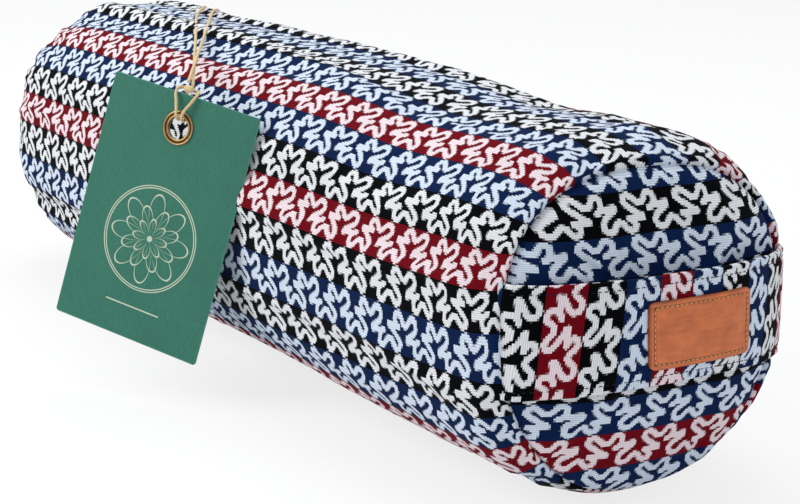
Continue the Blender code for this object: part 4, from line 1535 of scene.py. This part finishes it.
@dataclass
class Handle:
    """The carry handle, a doubled strap sewn near both edges, with its leather label."""

    cloth: Material
    dark_thread: Material
    tan_thread: Material
    leather: Material
    width: float = 0.0605
    end_width: float = 0.065
    thickness: float = 0.003
    seat: float = 0.0006
    finger_gap: float = 0.0065
    lift: float = 0.005
    bow: float = 4.0
    half_reach: float = 0.0930
    edge_in: float = 0.0007
    pad: float = 0.0005
    groove_width: float = 0.0010
    groove_depth: float = 0.0007
    stitch_inset: float = 0.0048
    stitch_pitch: float = 0.0034
    stripe: float = 0.0207
    slant: float = 0.13
    label_width: float = 0.069
    label_height: float = 0.038
    label_thickness: float = 0.0019
    label_aside: float = 0.009
    label_drop: float = 0.002
    label_corner: float = 0.0042
    label_stitch: float = 0.0030
    label_pitch: float = 0.0031
    press_width: float = 0.0007
    press_depth: float = 0.00022
    soft_edge: float = 0.00045
    swell: float = 0.0003
    columns: int = 110
    arcs: list[float] = field(default_factory=list)

    def middle(self, across: float) -> Vector:
        """The middle of the strap's inner face, before the lean."""
        share = min(1.0, abs(across) / self.half_reach)
        panel = FORM.crown(FRONT, min(1.0, abs(across) / (FRONT.seam_width / 2)))
        gap = self.finger_gap * (1 - share**self.bow)
        dip = 0.0042 * smooth(0.955, 1.0, share)
        x = FORM.half_length + panel + self.seat + gap - dip
        return Vector((x, across, FORM.centre + FRONT.seam_rise + self.lift * (1 - share**2)))

    def outward(self, across: float) -> Vector:
        """The way out of the strap, level, before the lean."""
        step = 0.001
        run = self.middle(across + step) - self.middle(across - step)
        return Vector((run.y, -run.x, 0.0)).normalized()

    def face(self, across: float, up: float, out: float) -> Vector:
        """A point of the leaning strap, out from its inner face."""
        point = self.middle(across) + self.outward(across) * out
        share = min(1.0, abs(across) / self.half_reach)
        point.z += up * mix(1.0, self.end_width / self.width, share**2)
        return FORM.lean(point)

    def arc(self, across: float) -> float:
        """The distance along the strap from its middle."""
        share = (across / self.half_reach + 1) / 2 * (len(self.arcs) - 1)
        low = int(clamp(share, 0, len(self.arcs) - 2))
        return mix(self.arcs[low], self.arcs[low + 1], share - low)

    def measure(self) -> None:
        """Tables the distance along the strap."""
        count = 60
        points = [self.middle(self.half_reach * (2 * index / count - 1)) for index in range(count + 1)]
        total = lengths_along(points)
        half = total[count // 2]
        self.arcs = [value - half for value in total]

    def across(self, column: float) -> float:
        """Where a column of the strap's grid lies, closer together near the ends."""
        share = 2 * column / self.columns - 1
        return self.half_reach * math.sin(math.pi / 2 * share) * 0.35 + self.half_reach * share * 0.65

    def build_strap(self) -> Object:
        """Makes the strap with folded edges and a groove under each sewn line."""
        half = self.width / 2
        thick = self.thickness
        front = [index / 34 for index in range(35)]
        face = half - self.edge_in
        profile = [(face - 2 * face * share, thick) for share in front]
        profile += [(-half, thick * 0.72), (-half - 0.0002, thick * 0.4), (-half + 0.0006, 0.0)]
        profile += [(mix(-half + 0.004, half - 0.004, index / 6), 0.0) for index in range(7)]
        profile += [(half - 0.0006, 0.0), (half + 0.0002, thick * 0.4), (half, thick * 0.72)]
        count = len(profile)

        def place(column: float, row: float) -> Vector:
            """A point of the strap's skin."""
            across = self.across(column)
            up, out = profile[round(row) % count]
            outer = 1.0 if out > thick * 0.9 else 0.0
            groove = bell(half - abs(up) - self.stitch_inset, self.groove_width)
            edge = smooth(self.stitch_inset + 0.004, self.stitch_inset, half - abs(up))
            pad = self.pad * (1 - edge)
            wave = noise.noise(Vector((across * 60.0, up * 40.0, 3.0))) * 0.0004
            pinch = noise.noise(Vector((across * 240.0, math.copysign(9.0, up), 1.0))) * 0.0003 * edge
            lift = outer * (pad + wave + pinch - groove * self.groove_depth)
            along = math.copysign(1.0, up) * noise.noise(Vector((across * 45.0, 8.0, up * 9))) * 0.0006
            return self.face(across, up + along * edge, max(0.0003, out + lift) if outer else out)

        def fabric(column: float, row: float) -> tuple[float, float]:
            """Repeats up the strap and stripes across it."""
            across = self.across(column)
            up, out = profile[round(row) % count]
            stripes = 2 + (self.arc(-0.020) - self.arc(across) + self.slant * up) / self.stripe
            return (up - out) / 0.0345 + 0.12, stripes

        shape = grid_shape(self.columns, count, place, fabric)
        seal(shape)
        return as_object("carry_handle_strap", shape, self.cloth)

    def build_strap_stitches(self) -> Object:
        """Makes the sewn line along each edge of the strap."""
        seats = []
        reach = self.half_reach - 0.004
        count = round(2 * reach / self.stitch_pitch)
        for side in (1, -1):
            up = side * (self.width / 2 - self.stitch_inset)
            for index in range(count + 1):
                across = mix(-reach, reach, index / count)
                middle = self.face(across, up, self.thickness - 0.00035)
                ahead = self.face(across + 0.0005, up, self.thickness - 0.00035)
                seats.append((middle, ahead - middle, self.outward(across)))
        shape = Stitching(0.0026, 0.0006).shape(seats)
        return as_object("carry_handle_stitches", shape, self.dark_thread)

    def label_point(self, across: float, up: float, out: float) -> Vector:
        """A point of the label by its place on it, out from the strap."""
        level = self.middle(self.label_aside).z - self.label_drop
        y = self.label_aside + across
        point = self.middle(y) + self.outward(y) * (self.thickness + 0.0006 + out)
        point.z = level + up
        return FORM.lean(point)

    def rounded(self, across: float, up: float, shrink: float = 0.0) -> tuple[float, float]:
        """A place of the label's rectangle, brought inside its round corners."""
        corner = self.label_corner
        half_x = self.label_width / 2
        half_y = self.label_height / 2
        past_side = max(0.0, abs(across) - (half_x - corner))
        past_end = max(0.0, abs(up) - (half_y - corner))
        reach = math.hypot(past_side, past_end)
        if reach > corner:
            cut = 1 - corner / reach
            across -= math.copysign(past_side * cut, across)
            up -= math.copysign(past_end * cut, up)
        return across * (1 - shrink / half_x), up * (1 - shrink / half_y)

    def build_label(self) -> Object:
        """Makes the leather label, slightly domed, with soft cut edges and a pressed sewn line."""
        thick = self.label_thickness
        columns, rows = 84, 46

        def fabric(column: float, row: float) -> tuple[float, float]:
            """The place on the label, in metres."""
            return self.rounded(
                (column / columns - 0.5) * self.label_width, (row / rows - 0.5) * self.label_height
            )

        def place(column: float, row: float) -> Vector:
            """A point of the label's face."""
            across, up = fabric(column, row)
            inside = min(self.label_width / 2 - abs(across), self.label_height / 2 - abs(up))
            corner_x = max(0.0, abs(across) - (self.label_width / 2 - self.label_corner))
            corner_y = max(0.0, abs(up) - (self.label_height / 2 - self.label_corner))
            if corner_x > 0 and corner_y > 0:
                inside = self.label_corner - math.hypot(corner_x, corner_y)
            press = bell(inside - self.label_stitch, self.press_width) * self.press_depth
            edge = self.soft_edge * (1 - smooth(0.0, 0.0010, inside))
            swell = self.swell * smooth(0.003, 0.012, inside)
            grain = noise.noise(Vector((across * 300, up * 300, 2.0))) * 0.00004
            return self.label_point(across, up, thick - press - edge + swell + grain)

        shape = grid_shape(columns, rows, place, fabric)
        out = self.outward(self.label_aside)
        face_towards(shape, shape.faces[:][len(shape.faces) // 2], out)
        for vertex in drawn_out(shape, open_edges(shape)):
            vertex.co -= out * (thick - self.soft_edge)
        seal(shape)
        return as_object("handle_label_leather", shape, self.leather)

    def build_label_stitches(self) -> Object:
        """Makes the tan stitches inside the label's rim."""
        half_x = self.label_width / 2 - self.label_stitch
        half_y = self.label_height / 2 - self.label_stitch
        corner = self.label_corner - self.label_stitch * 0.5
        outline = []
        for turn, (sign_x, sign_y) in enumerate(((1, 1), (-1, 1), (-1, -1), (1, -1))):
            for index in range(7):
                angle = math.pi / 2 * (turn + index / 6)
                x = sign_x * (half_x - corner) + corner * math.cos(angle)
                y = sign_y * (half_y - corner) + corner * math.sin(angle)
                outline.append(Vector((x, y, 0.0)))
        outline.append(outline[0].copy())
        dense = []
        for first, second in zip(outline, outline[1:]):
            parts = max(1, round((second - first).length / 0.0002))
            dense += [first.lerp(second, index / parts) for index in range(parts)]
        total = route_length(dense)
        count = round(total / self.label_pitch)
        seats = []
        for number in range(count):
            index = int((number + 0.5) / count * (len(dense) - 1))
            here, ahead = dense[index], dense[min(index + 3, len(dense) - 1)]
            lift = self.label_thickness - 0.00012
            middle = self.label_point(here.x, here.y, lift)
            run = self.label_point(ahead.x, ahead.y, lift) - middle
            seats.append((middle, run, self.outward(self.label_aside + here.x)))
        shape = Stitching(0.0023, 0.0007, 0.25).shape(seats)
        return as_object("handle_label_stitches", shape, self.tan_thread)

    def build(self) -> None:
        self.measure()
        strap = settle(self.build_strap(), Body.BOLSTER, Slot.JACQUARD, "carry_handle")
        settle(self.build_strap_stitches(), Body.BOLSTER, Slot.JACQUARD)
        settle(self.build_label(), Body.BOLSTER, Slot.LEATHER, "handle_label")
        settle(self.build_label_stitches(), Body.BOLSTER, Slot.COTTON)


@dataclass
class Zip:
    """The zip: woven tapes of its own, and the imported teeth, stops, slider and pull."""

    tape: Material
    teeth: Material
    metal: Material
    reach: float = 0.222
    inner: float = 0.0044
    outer: float = 0.0149
    plane: float = 0.1078
    cloth: float = 0.0006
    bead: float = 0.00018
    bead_at: float = 0.0005
    bead_width: float = 0.0004
    edge_cut: float = 0.0002
    end_gap: float = 0.0004
    closes_at: float = 0.2046
    closes_over: float = 0.002
    closed_inner: float = 0.0003

    def build_tape(self, name: str, side: int) -> Object:
        """Makes one tape, with a corded inner edge, curved as the cover is.

        Args:
            name: The piece's name.
            side: 1 above the teeth, -1 below.

        Returns:
            The tape.
        """
        columns = 220
        heights = [0.0, 0.0004, 0.0009, 0.0015, 0.0025, 0.0045, 0.0070, self.outer - self.inner]
        half = self.cloth / 2
        profile = []
        for height in heights:
            bead = self.bead * bell(height - self.bead_at, self.bead_width)
            profile.append((height, half + bead - (self.edge_cut if height == 0 else 0.0)))
        profile += [(height, -out) for height, out in reversed(profile)]
        count = len(profile)

        def place(column: float, row: float) -> Vector:
            """A point of the tape's skin."""
            height, out = profile[round(row) % count]
            reach = self.reach - self.end_gap
            x = mix(-reach, reach, column / columns)
            closed = clamp((abs(x) - self.closes_at) / self.closes_over)
            inner = mix(self.inner, self.closed_inner, closed)
            up = mix(inner, self.outer, height / (self.outer - self.inner))
            edge = FORM.oval(FORM.angle_at(up), FORM.width / 2, 1, FORM.squareness)[0]
            drop = FORM.width / 2 - edge
            ripple = noise.noise(Vector((x * 120.0, up * 80.0, side))) * 0.0001
            return Vector((x, self.plane - drop + out + ripple, FORM.centre + side * up))

        shape = grid_shape(columns, count, place)
        seal(shape)
        return as_object(name, shape, self.tape)

    def build(self) -> None:
        """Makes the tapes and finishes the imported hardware."""
        for name, side in (("zip_tape_upper", 1), ("zip_tape_lower", -1)):
            settle(self.build_tape(name + "_cloth", side), Body.BOLSTER, Slot.TAPE, name)
        for name in ("zip_teeth_upper", "zip_teeth_lower"):
            self.dress(name, self.teeth)
        for name in ("zip_top_stop_upper", "zip_top_stop_lower", "zip_bottom_stop", "zip_slider", "zip_pull"):
            self.dress(name, self.metal)

    @staticmethod
    def dress(node: str, material: Material) -> None:
        """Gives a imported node's slots a finish."""
        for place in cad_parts[node].material_slots:
            place.material = material
        LOG.info("%s keeps its packed shape", node)


@dataclass
class SwingTag:
    """The card on its gold cord: two strands over the crest, a knot, and the hitch on the card."""

    card: Material
    brass: Material
    washer_and_groove_shade_brass: Material
    cord: Material
    twist: Twist
    width: float = 0.113
    height: float = 0.166
    thickness: float = 0.0008
    corner: float = 0.0015
    cut_edge: float = 0.00018
    yaw: float = math.radians(30.0)
    tilt: float = math.radians(-12.0)
    roll: float = math.radians(10.6)
    gap: float = 0.0006
    touch_x: float = 0.060
    touch_angle: float = math.radians(164.6)
    touch_drop: float = 0.050
    above_card: float = 0.0036
    eyelet_drop: float = 0.0225
    bore: float = 0.0152
    wall: float = 0.0006
    flange: float = 0.0225
    bead: float = 0.00115
    eyelet_gap: float = 0.0003
    knot_diameter: float = 0.0052
    knot_length: float = 0.0075
    strand_left: Route = (
        (-323.0, 43.0, 1.6), (-312.0, 48.0, 1.7), (-286.0, 58.0, 1.7), (-252.0, 70.5, 1.7),
        (-216.0, 82.0, 1.7), (-176.0, 94.0, 1.7),
    )
    strand_right: Route = (
        (-323.0, 37.0, 1.6), (-310.0, 42.5, 1.7), (-280.0, 53.0, 1.7), (-236.0, 69.0, 1.7),
        (-192.0, 84.0, 1.7), (-152.0, 95.0, 1.7),
    )
    left_end: Triple = (1.2, 3.0, 1.6)
    right_end: Triple = (-1.2, 1.6, 4.5)
    hitch_half: Route = (
        (-1.7, 2.2, -3.2), (-1.8, 3.2, -7.0), (-1.8, 4.0, -13.0), (-1.8, 4.0, -17.6),
        (-1.9, 2.2, -20.4), (-2.0, -1.6, -20.7), (-2.2, -4.2, -17.6), (-3.4, -4.0, -13.2),
        (-6.0, -2.6, -7.6), (-7.6, -2.2, -3.6), (-7.8, -0.4, -0.9), (-7.0, 2.2, -0.3),
        (-4.0, 4.1, -0.6), (0.0, 4.5, -0.8),
    )

    def card_frame(self) -> Matrix:
        """Where the card hangs: X across it and Z up, with the knot at the origin."""
        turn = (
            Matrix.Rotation(self.yaw, 4, "Z")
            @ Matrix.Rotation(self.tilt, 4, "X")
            @ Matrix.Rotation(self.roll, 4, "Y")
        )
        touch = FORM.skin(self.touch_x, self.touch_angle)
        touch += FORM.skin_normal(self.touch_x, self.touch_angle) * self.gap
        edge = Vector((self.width / 2, self.thickness / 2, -self.above_card - self.touch_drop))
        return Matrix.Translation(touch - turn @ edge) @ turn

    def knot_frame(self) -> Matrix:
        """The knot's own frame: X along the hinge, Y back from it and Z up."""
        return Matrix.Translation(self.card_frame().translation) @ Matrix.Rotation(self.yaw, 4, "Z")

    def strand_route(self, route: Route, end: Triple) -> list[Vector]:
        """A strand's points: along the cloth, then free and straight to the knot.

        Args:
            route: Millimetres along X, degrees round the body and millimetres above the cloth.
            end: Where it stops in the knot's frame, in millimetres.

        Returns:
            Points 14 mm apart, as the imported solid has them.
        """
        points = []
        for x, degrees, height in route:
            angle = math.radians(degrees)
            lift = FORM.skin_normal(x * MM, angle) * (height * MM)
            points.append(FORM.skin(x * MM, angle) + lift)
        leaving = points[-1]
        stop = self.knot_frame() @ (Vector(end) * MM)
        points += [leaving.lerp(stop, share) for share in (1 / 3, 2 / 3)]
        points.append(stop)
        return curve_route(points, 0.014)

    def hitch_route(self) -> list[Vector]:
        """The hitch's points, from the knot through the eyelet and back on both sides."""
        half = [Vector(point) * MM for point in self.hitch_half]
        mirrored = [Vector((-point.x, point.y, point.z)) for point in reversed(half[:-1])]
        place = self.card_frame()
        return [place @ point for point in curve_route(half + mirrored, 0.005)]

    def build_knot(self) -> Object:
        """Makes the knot: three turns of cord side by side, wound round the strands."""
        place = self.knot_frame() @ Matrix.Rotation(math.pi / 2, 4, "Y")
        radius = self.knot_diameter / 2
        rows, sides = 30, 22

        def point(column: float, row: float) -> Vector:
            """A point of the knot's skin."""
            share = column / rows
            angle = math.tau * row / sides
            spiral = math.cos(math.tau * (share * 3.0 - row / sides))
            ends = math.sqrt(max(0.0, 1 - (2 * share - 1) ** 4))
            reach = radius * (0.90 + 0.10 * spiral) * max(0.02, ends)
            height = (share - 0.5) * self.knot_length
            return place @ Vector((reach * math.cos(angle), reach * math.sin(angle), height))

        def fabric(column: float, row: float) -> tuple[float, float]:
            """A map that sends the fibres along each turn."""
            return column / rows * 0.004 + row / sides * 0.016, row / sides

        shape = grid_shape(rows, sides, point, fabric)
        seal(shape)
        return as_object("tag_cord_knot", shape, self.cord)

    def build_cords(self) -> None:
        knot = settle(self.build_knot(), Body.BOLSTER, Slot.CORD, "tag_knot")
        strands = (
            ("tag_strand_left", self.strand_left, self.left_end),
            ("tag_strand_right", self.strand_right, self.right_end),
        )
        for name, way, end in strands:
            piece, fine = self.laid(name, self.strand_route(way, end), Body.BOLSTER)
            route_length(fine)
            [knot] if name == "tag_strand_left" else ()
        hitch, fine = self.laid("tag_hitch", self.hitch_route(), Body.TAG)
        route_length(fine)

    def laid(self, node: str, route: list[Vector], body: Body) -> tuple[Object, list[Vector]]:
        """Makes and seats one cord.

        Args:
            node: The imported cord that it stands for.
            route: Its points.
            body: The body that it rides on.

        Returns:
            The cord and the fine points along it.
        """
        piece = as_object(node + "_cord", self.twist.tube(route), self.cord)
        settle(piece, body, Slot.CORD, node)
        return piece, curve_route(route, self.twist.step)

    def build_card(self) -> Object:
        """Makes the card: a stiff sheet with clipped corners, soft cut edges and a round hole."""
        shape = bmesh.new()
        half = self.width / 2
        top = -self.above_card
        foot = top - self.height
        side = [(half - self.corner, foot), (half, foot + self.corner)]
        side += [(half, top - self.corner), (half - self.corner, top)]
        outline = side + [(-x, z) for x, z in reversed(side)]
        rim = [shape.verts.new((x, 0.0, z)) for x, z in outline]
        edges = [shape.edges.new((rim[index - 1], rim[index])) for index in range(len(rim))]
        centre = Vector((0.0, 0.0, top - self.eyelet_drop))
        turn = Matrix.Translation(centre) @ Matrix.Rotation(math.pi / 2, 4, "X")
        hole = bmesh.ops.create_circle(
            shape, segments=64, radius=self.bore / 2 + self.wall + self.eyelet_gap, matrix=turn
        )
        edges += list({edge for vertex in hole["verts"] for edge in vertex.link_edges})
        bmesh.ops.triangle_fill(shape, use_beauty=True, use_dissolve=False, edges=edges)
        reach = self.bore / 2 * 0.98
        inside = [face for face in shape.faces if (face.calc_center_median() - centre).length < reach]
        bmesh.ops.delete(shape, geom=inside, context="FACES")
        bmesh.ops.solidify(shape, geom=list(shape.faces), thickness=self.thickness)
        middle = sum((vertex.co.y for vertex in shape.verts)) / len(shape.verts)
        for vertex in shape.verts:
            vertex.co.y -= middle
        face_outwards(shape)
        sharp = [edge for edge in shape.edges if edge.calc_face_angle(0.0) > 1.0]
        bmesh.ops.bevel(
            shape, geom=sharp, offset=self.cut_edge, segments=2, profile=0.5, affect="EDGES", material=-1
        )
        layer = shape.loops.layers.uv.new(FABRIC_MAP)
        for face in shape.faces:
            for loop in face.loops:
                loop[layer].uv = (loop.vert.co.x, loop.vert.co.z - top)
        bmesh.ops.transform(shape, matrix=self.card_frame(), verts=shape.verts)
        card = as_object("tag_card_sheet", shape, self.card)
        card.data.shade_flat()
        return card

    def turned(self, name: str, profile: Route, place: Matrix, material: Material) -> Object:
        """Turns a closed profile into a ring.

        Args:
            name: The piece's name.
            profile: Radius and height of its corners, in order round the section.
            place: Where the ring's axis Z goes.
            material: Its finish.

        Returns:
            The ring.
        """
        shape = bmesh.new()
        corners = [shape.verts.new((radius, 0.0, height)) for radius, height in profile]
        edges = [shape.edges.new((corners[index - 1], corners[index])) for index in range(len(corners))]
        ring = {"axis": (0.0, 0.0, 1.0), "cent": (0.0, 0.0, 0.0), "angle": math.tau}
        bmesh.ops.spin(shape, geom=[*corners, *edges], steps=96, use_merge=True, **ring)
        bmesh.ops.remove_doubles(shape, verts=shape.verts, dist=WELD / 10)
        face_outwards(shape)
        bmesh.ops.transform(shape, matrix=place, verts=shape.verts)
        return as_object(name, shape, material)

    def rolled(self, start: float, stop: float, base: float, rise: float, steps: int = 10) -> list:
        """The rounded crest of a rolled flange, from one radius to another."""
        points = []
        for index in range(steps + 1):
            angle = math.pi * index / steps
            radius = mix(start, stop, (1 - math.cos(angle)) / 2)
            points.append((radius, base + rise * math.sin(angle) ** 0.8))
        return points

    def build_eyelet(self) -> None:
        """Makes the brass eyelet with its rolled flange, its groove between the beads in dark brass as
        painted shade, and the washer behind the card.
        """
        facing = self.card_frame() @ Matrix.Rotation(math.pi / 2, 4, "X")
        drop = self.above_card + self.eyelet_drop
        place = facing @ Matrix.Translation((0.0, -drop, 0.0))
        inner = self.bore / 2
        outer = inner + self.wall
        flange = self.flange / 2
        seat = self.thickness / 2 + self.eyelet_gap
        back = -seat - self.wall - self.eyelet_gap
        rim, crest = inner + self.bead, flange - self.bead
        base = seat + self.wall * 0.3
        beads = [*self.rolled(inner, rim, base, self.wall * 0.8), (mix(rim, crest, 0.5), base)]
        beads += self.rolled(crest, flange, base, self.wall)
        profile = [*beads, (flange, seat), (outer, seat), (outer, back), (inner, back)]
        eyelet = self.turned("tag_eyelet_ring", profile, place, self.brass)
        # The faces between the two beads take the dark brass: painted shade in the eyelet's groove.
        eyelet.data.materials.append(self.washer_and_groove_shade_brass)
        middle = place.inverted()
        for face in eyelet.data.polygons:
            centre = middle @ face.center
            if rim < math.hypot(centre.x, centre.y) < crest and centre.z > seat:
                face.material_index = 1
        settle(eyelet, Body.TAG, Slot.BRASS, "tag_eyelet")
        node = "tag_eyelet_washer"
        low, high = self.washer_heights(place, node)
        start = outer + self.eyelet_gap
        roll = self.rolled(start, flange, 0.0, 1.0)
        thick = high - low
        profile = [(radius, low + thick * (1 - height * 0.8)) for radius, height in roll]
        profile = [(start, high), *[(r, h) for r, h in profile if h < high - 1e-6], (flange, high)]
        washer = self.turned("tag_eyelet_washer_ring", profile, place, self.washer_and_groove_shade_brass)
        settle(washer, Body.TAG, Slot.BRASS, node)

    @staticmethod
    def washer_heights(place: Matrix, node: str) -> tuple[float, float]:
        """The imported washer's lowest and highest place along the eyelet's axis."""
        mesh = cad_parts[node].data
        turn = place.inverted()
        heights = [(turn @ vertex.co).z for vertex in mesh.vertices]
        return min(heights), max(heights)

    def build(self) -> None:
        """Its cords come first."""
        self.build_cords()
        settle(self.build_card(), Body.TAG, Slot.CARD, "tag_card")
        self.build_eyelet()


@dataclass(frozen=True)
class Softbox:
    """One soft lamp: where it stands, what it faces, its size and its power."""

    lamp: Lamp
    place: Triple
    size: float
    power: float
    colour: Triple = (1.0, 1.0, 1.0)


@dataclass
class Studio:
    """The photograph's camera, a pale floor, a pale sky and soft lamps."""

    camera_at: Triple = (1.01750, -0.65465, 0.41578)
    right: Triple = (0.56941578, 0.82186888, 0.01724003)
    up: Triple = (-0.23412027, 0.14203082, 0.96177697)
    focal_pixels: float = 1777.564
    centre_pixels: float = -2.37
    sensor: float = 36.0
    ambient: float = 0.55
    floor_half: float = 9.0
    floor_gap: float = 0.0002
    softboxes: tuple[Softbox, ...] = (
        Softbox(Lamp.KEY, (-0.9, -1.9, 1.5), 1.5, 34.0),
        Softbox(Lamp.TOP, (-0.4, 0.3, 2.2), 1.6, 23.0, (0.93, 0.96, 1.0)),
        Softbox(Lamp.END, (2.2, 0.5, 1.2), 1.2, 8.5, (0.88, 0.94, 1.0)),
    )

    def build_camera(self) -> None:
        """Places the camera at the photograph's viewing angle."""
        data = bpy.data.cameras.new("photo_camera")
        data.sensor_width = self.sensor
        data.lens = self.focal_pixels / PIXELS_WIDE * self.sensor
        data.shift_x = -self.centre_pixels / PIXELS_WIDE
        data.clip_start = 0.01
        camera = bpy.data.objects.new("photo_camera", data)
        link(camera)
        right = Vector(self.right)
        up = Vector(self.up)
        turn = Matrix((right, up, right.cross(up))).transposed().to_4x4()
        camera.matrix_world = Matrix.Translation(Vector(self.camera_at)) @ turn
        bpy.context.scene.camera = camera

    def build_lamps(self) -> None:
        """Places the soft lamps, each facing the bolster."""
        target = Vector((0.0, 0.0, 0.1))
        for box in self.softboxes:
            data = bpy.data.lights.new(box.lamp.value, "AREA")
            data.shape = "DISK"
            data.size = box.size
            data.energy = box.power
            data.color = box.colour
            lamp = bpy.data.objects.new(box.lamp.value, data)
            lamp.location = box.place
            lamp.rotation_euler = (target - Vector(box.place)).to_track_quat("-Z", "Y").to_euler()
            link(lamp)

    def build_sky(self) -> None:
        """Makes a pale sky that looks white and lights softly."""
        world = bpy.data.worlds.new("studio_sky")
        bpy.context.scene.world = world
        world.use_nodes = True
        world.node_tree.nodes.clear()
        recipe = Recipe(world.node_tree)
        strength = recipe.node("ShaderNodeLightPath", output="Is Camera Ray") * (1 - self.ambient)
        inputs = {"Color": (1.0, 1.0, 1.0, 1.0), "Strength": strength + self.ambient}
        sky = recipe.node("ShaderNodeBackground", None, inputs)
        output = world.node_tree.nodes.new("ShaderNodeOutputWorld")
        world.node_tree.links.new(sky.socket, output.inputs["Surface"])

    def build_floor(self) -> None:
        """Makes a broad pale floor that keeps the bolster's soft shadow."""
        shape = bmesh.new()
        bmesh.ops.create_grid(shape, x_segments=8, y_segments=8, size=self.floor_half)
        for vertex in shape.verts:
            vertex.co.z = -self.floor_gap
        material, recipe = new_material("pale_floor", (245, 246, 248))
        grain = recipe.noise(recipe.object_place(), 30.0, 3.0)
        tone = recipe.blend(grain, (0.86, 0.865, 0.87, 1.0), (0.88, 0.885, 0.89, 1.0))
        matt = recipe.node("ShaderNodeBsdfDiffuse", None, {"Color": tone})
        glow = recipe.node("ShaderNodeEmission", None, {"Color": (1, 1, 1, 1), "Strength": 1.0})
        direct = recipe.node("ShaderNodeLightPath", output="Is Camera Ray")
        mirrored = recipe.node("ShaderNodeLightPath", output="Is Glossy Ray")
        seen = direct.math("MAXIMUM", mirrored) * 0.78
        surface = recipe.node("ShaderNodeMixShader", None, {0: seen, 1: matt, 2: glow})
        recipe.node_output(surface)
        as_object("studio_floor", shape, material)

    def build(self) -> None:
        """Sets up the view, the light and the floor."""
        bpy.context.scene.view_settings.view_transform = "Standard"
        self.build_camera()
        self.build_sky()
        self.build_lamps()
        self.build_floor()


def main() -> None:
    """Builds the studio, then the bolster piece by piece."""
    logging.basicConfig(level=logging.INFO, format="%(name)s: %(message)s")
    Studio().build()
    jacquard = Jacquard().build()
    cord = GoldCord().build()
    tag = SwingTag(
        card=PrintedCard(SwingTag.width / 2, SwingTag.height).build(),
        brass=Plated("polished_brass", (190, 160, 112), (128, 98, 58)).build(),
        # Dark brass for the washer, and painted shade on the eyelet's groove.
        washer_and_groove_shade_brass=Plated("dark_washer_brass_and_groove_shade", (92, 62, 34), (58, 38, 24), 0.40).build(),
        cord=cord,
        twist=Twist(),
    )
    tag.build()
    navy_thread = PlainCotton("navy_sewing_thread", (24, 28, 48), 0.4).build()
    tan_thread = PlainCotton("tan_sewing_thread", (240, 186, 120), 0.4).build()
    relief = Relief()
    relief.simulate()
    Cover(jacquard, navy_thread, relief).build()
    Handle(
        cloth=jacquard,
        dark_thread=navy_thread,
        tan_thread=tan_thread,
        leather=Leather(Handle.label_width / 2, Handle.label_height / 2).build(),
    ).build()
    Zip(
        tape=ZipTape().build(),
        teeth=Moulded().build(),
        metal=Plated("nickel_plate", (196, 198, 202), (150, 150, 152)).build(),
    ).build()
    InnerCase(PlainCotton("unbleached_cotton", (224, 214, 194)).build(), Husk().build()).build()


if __name__ == "__main__":
    main()
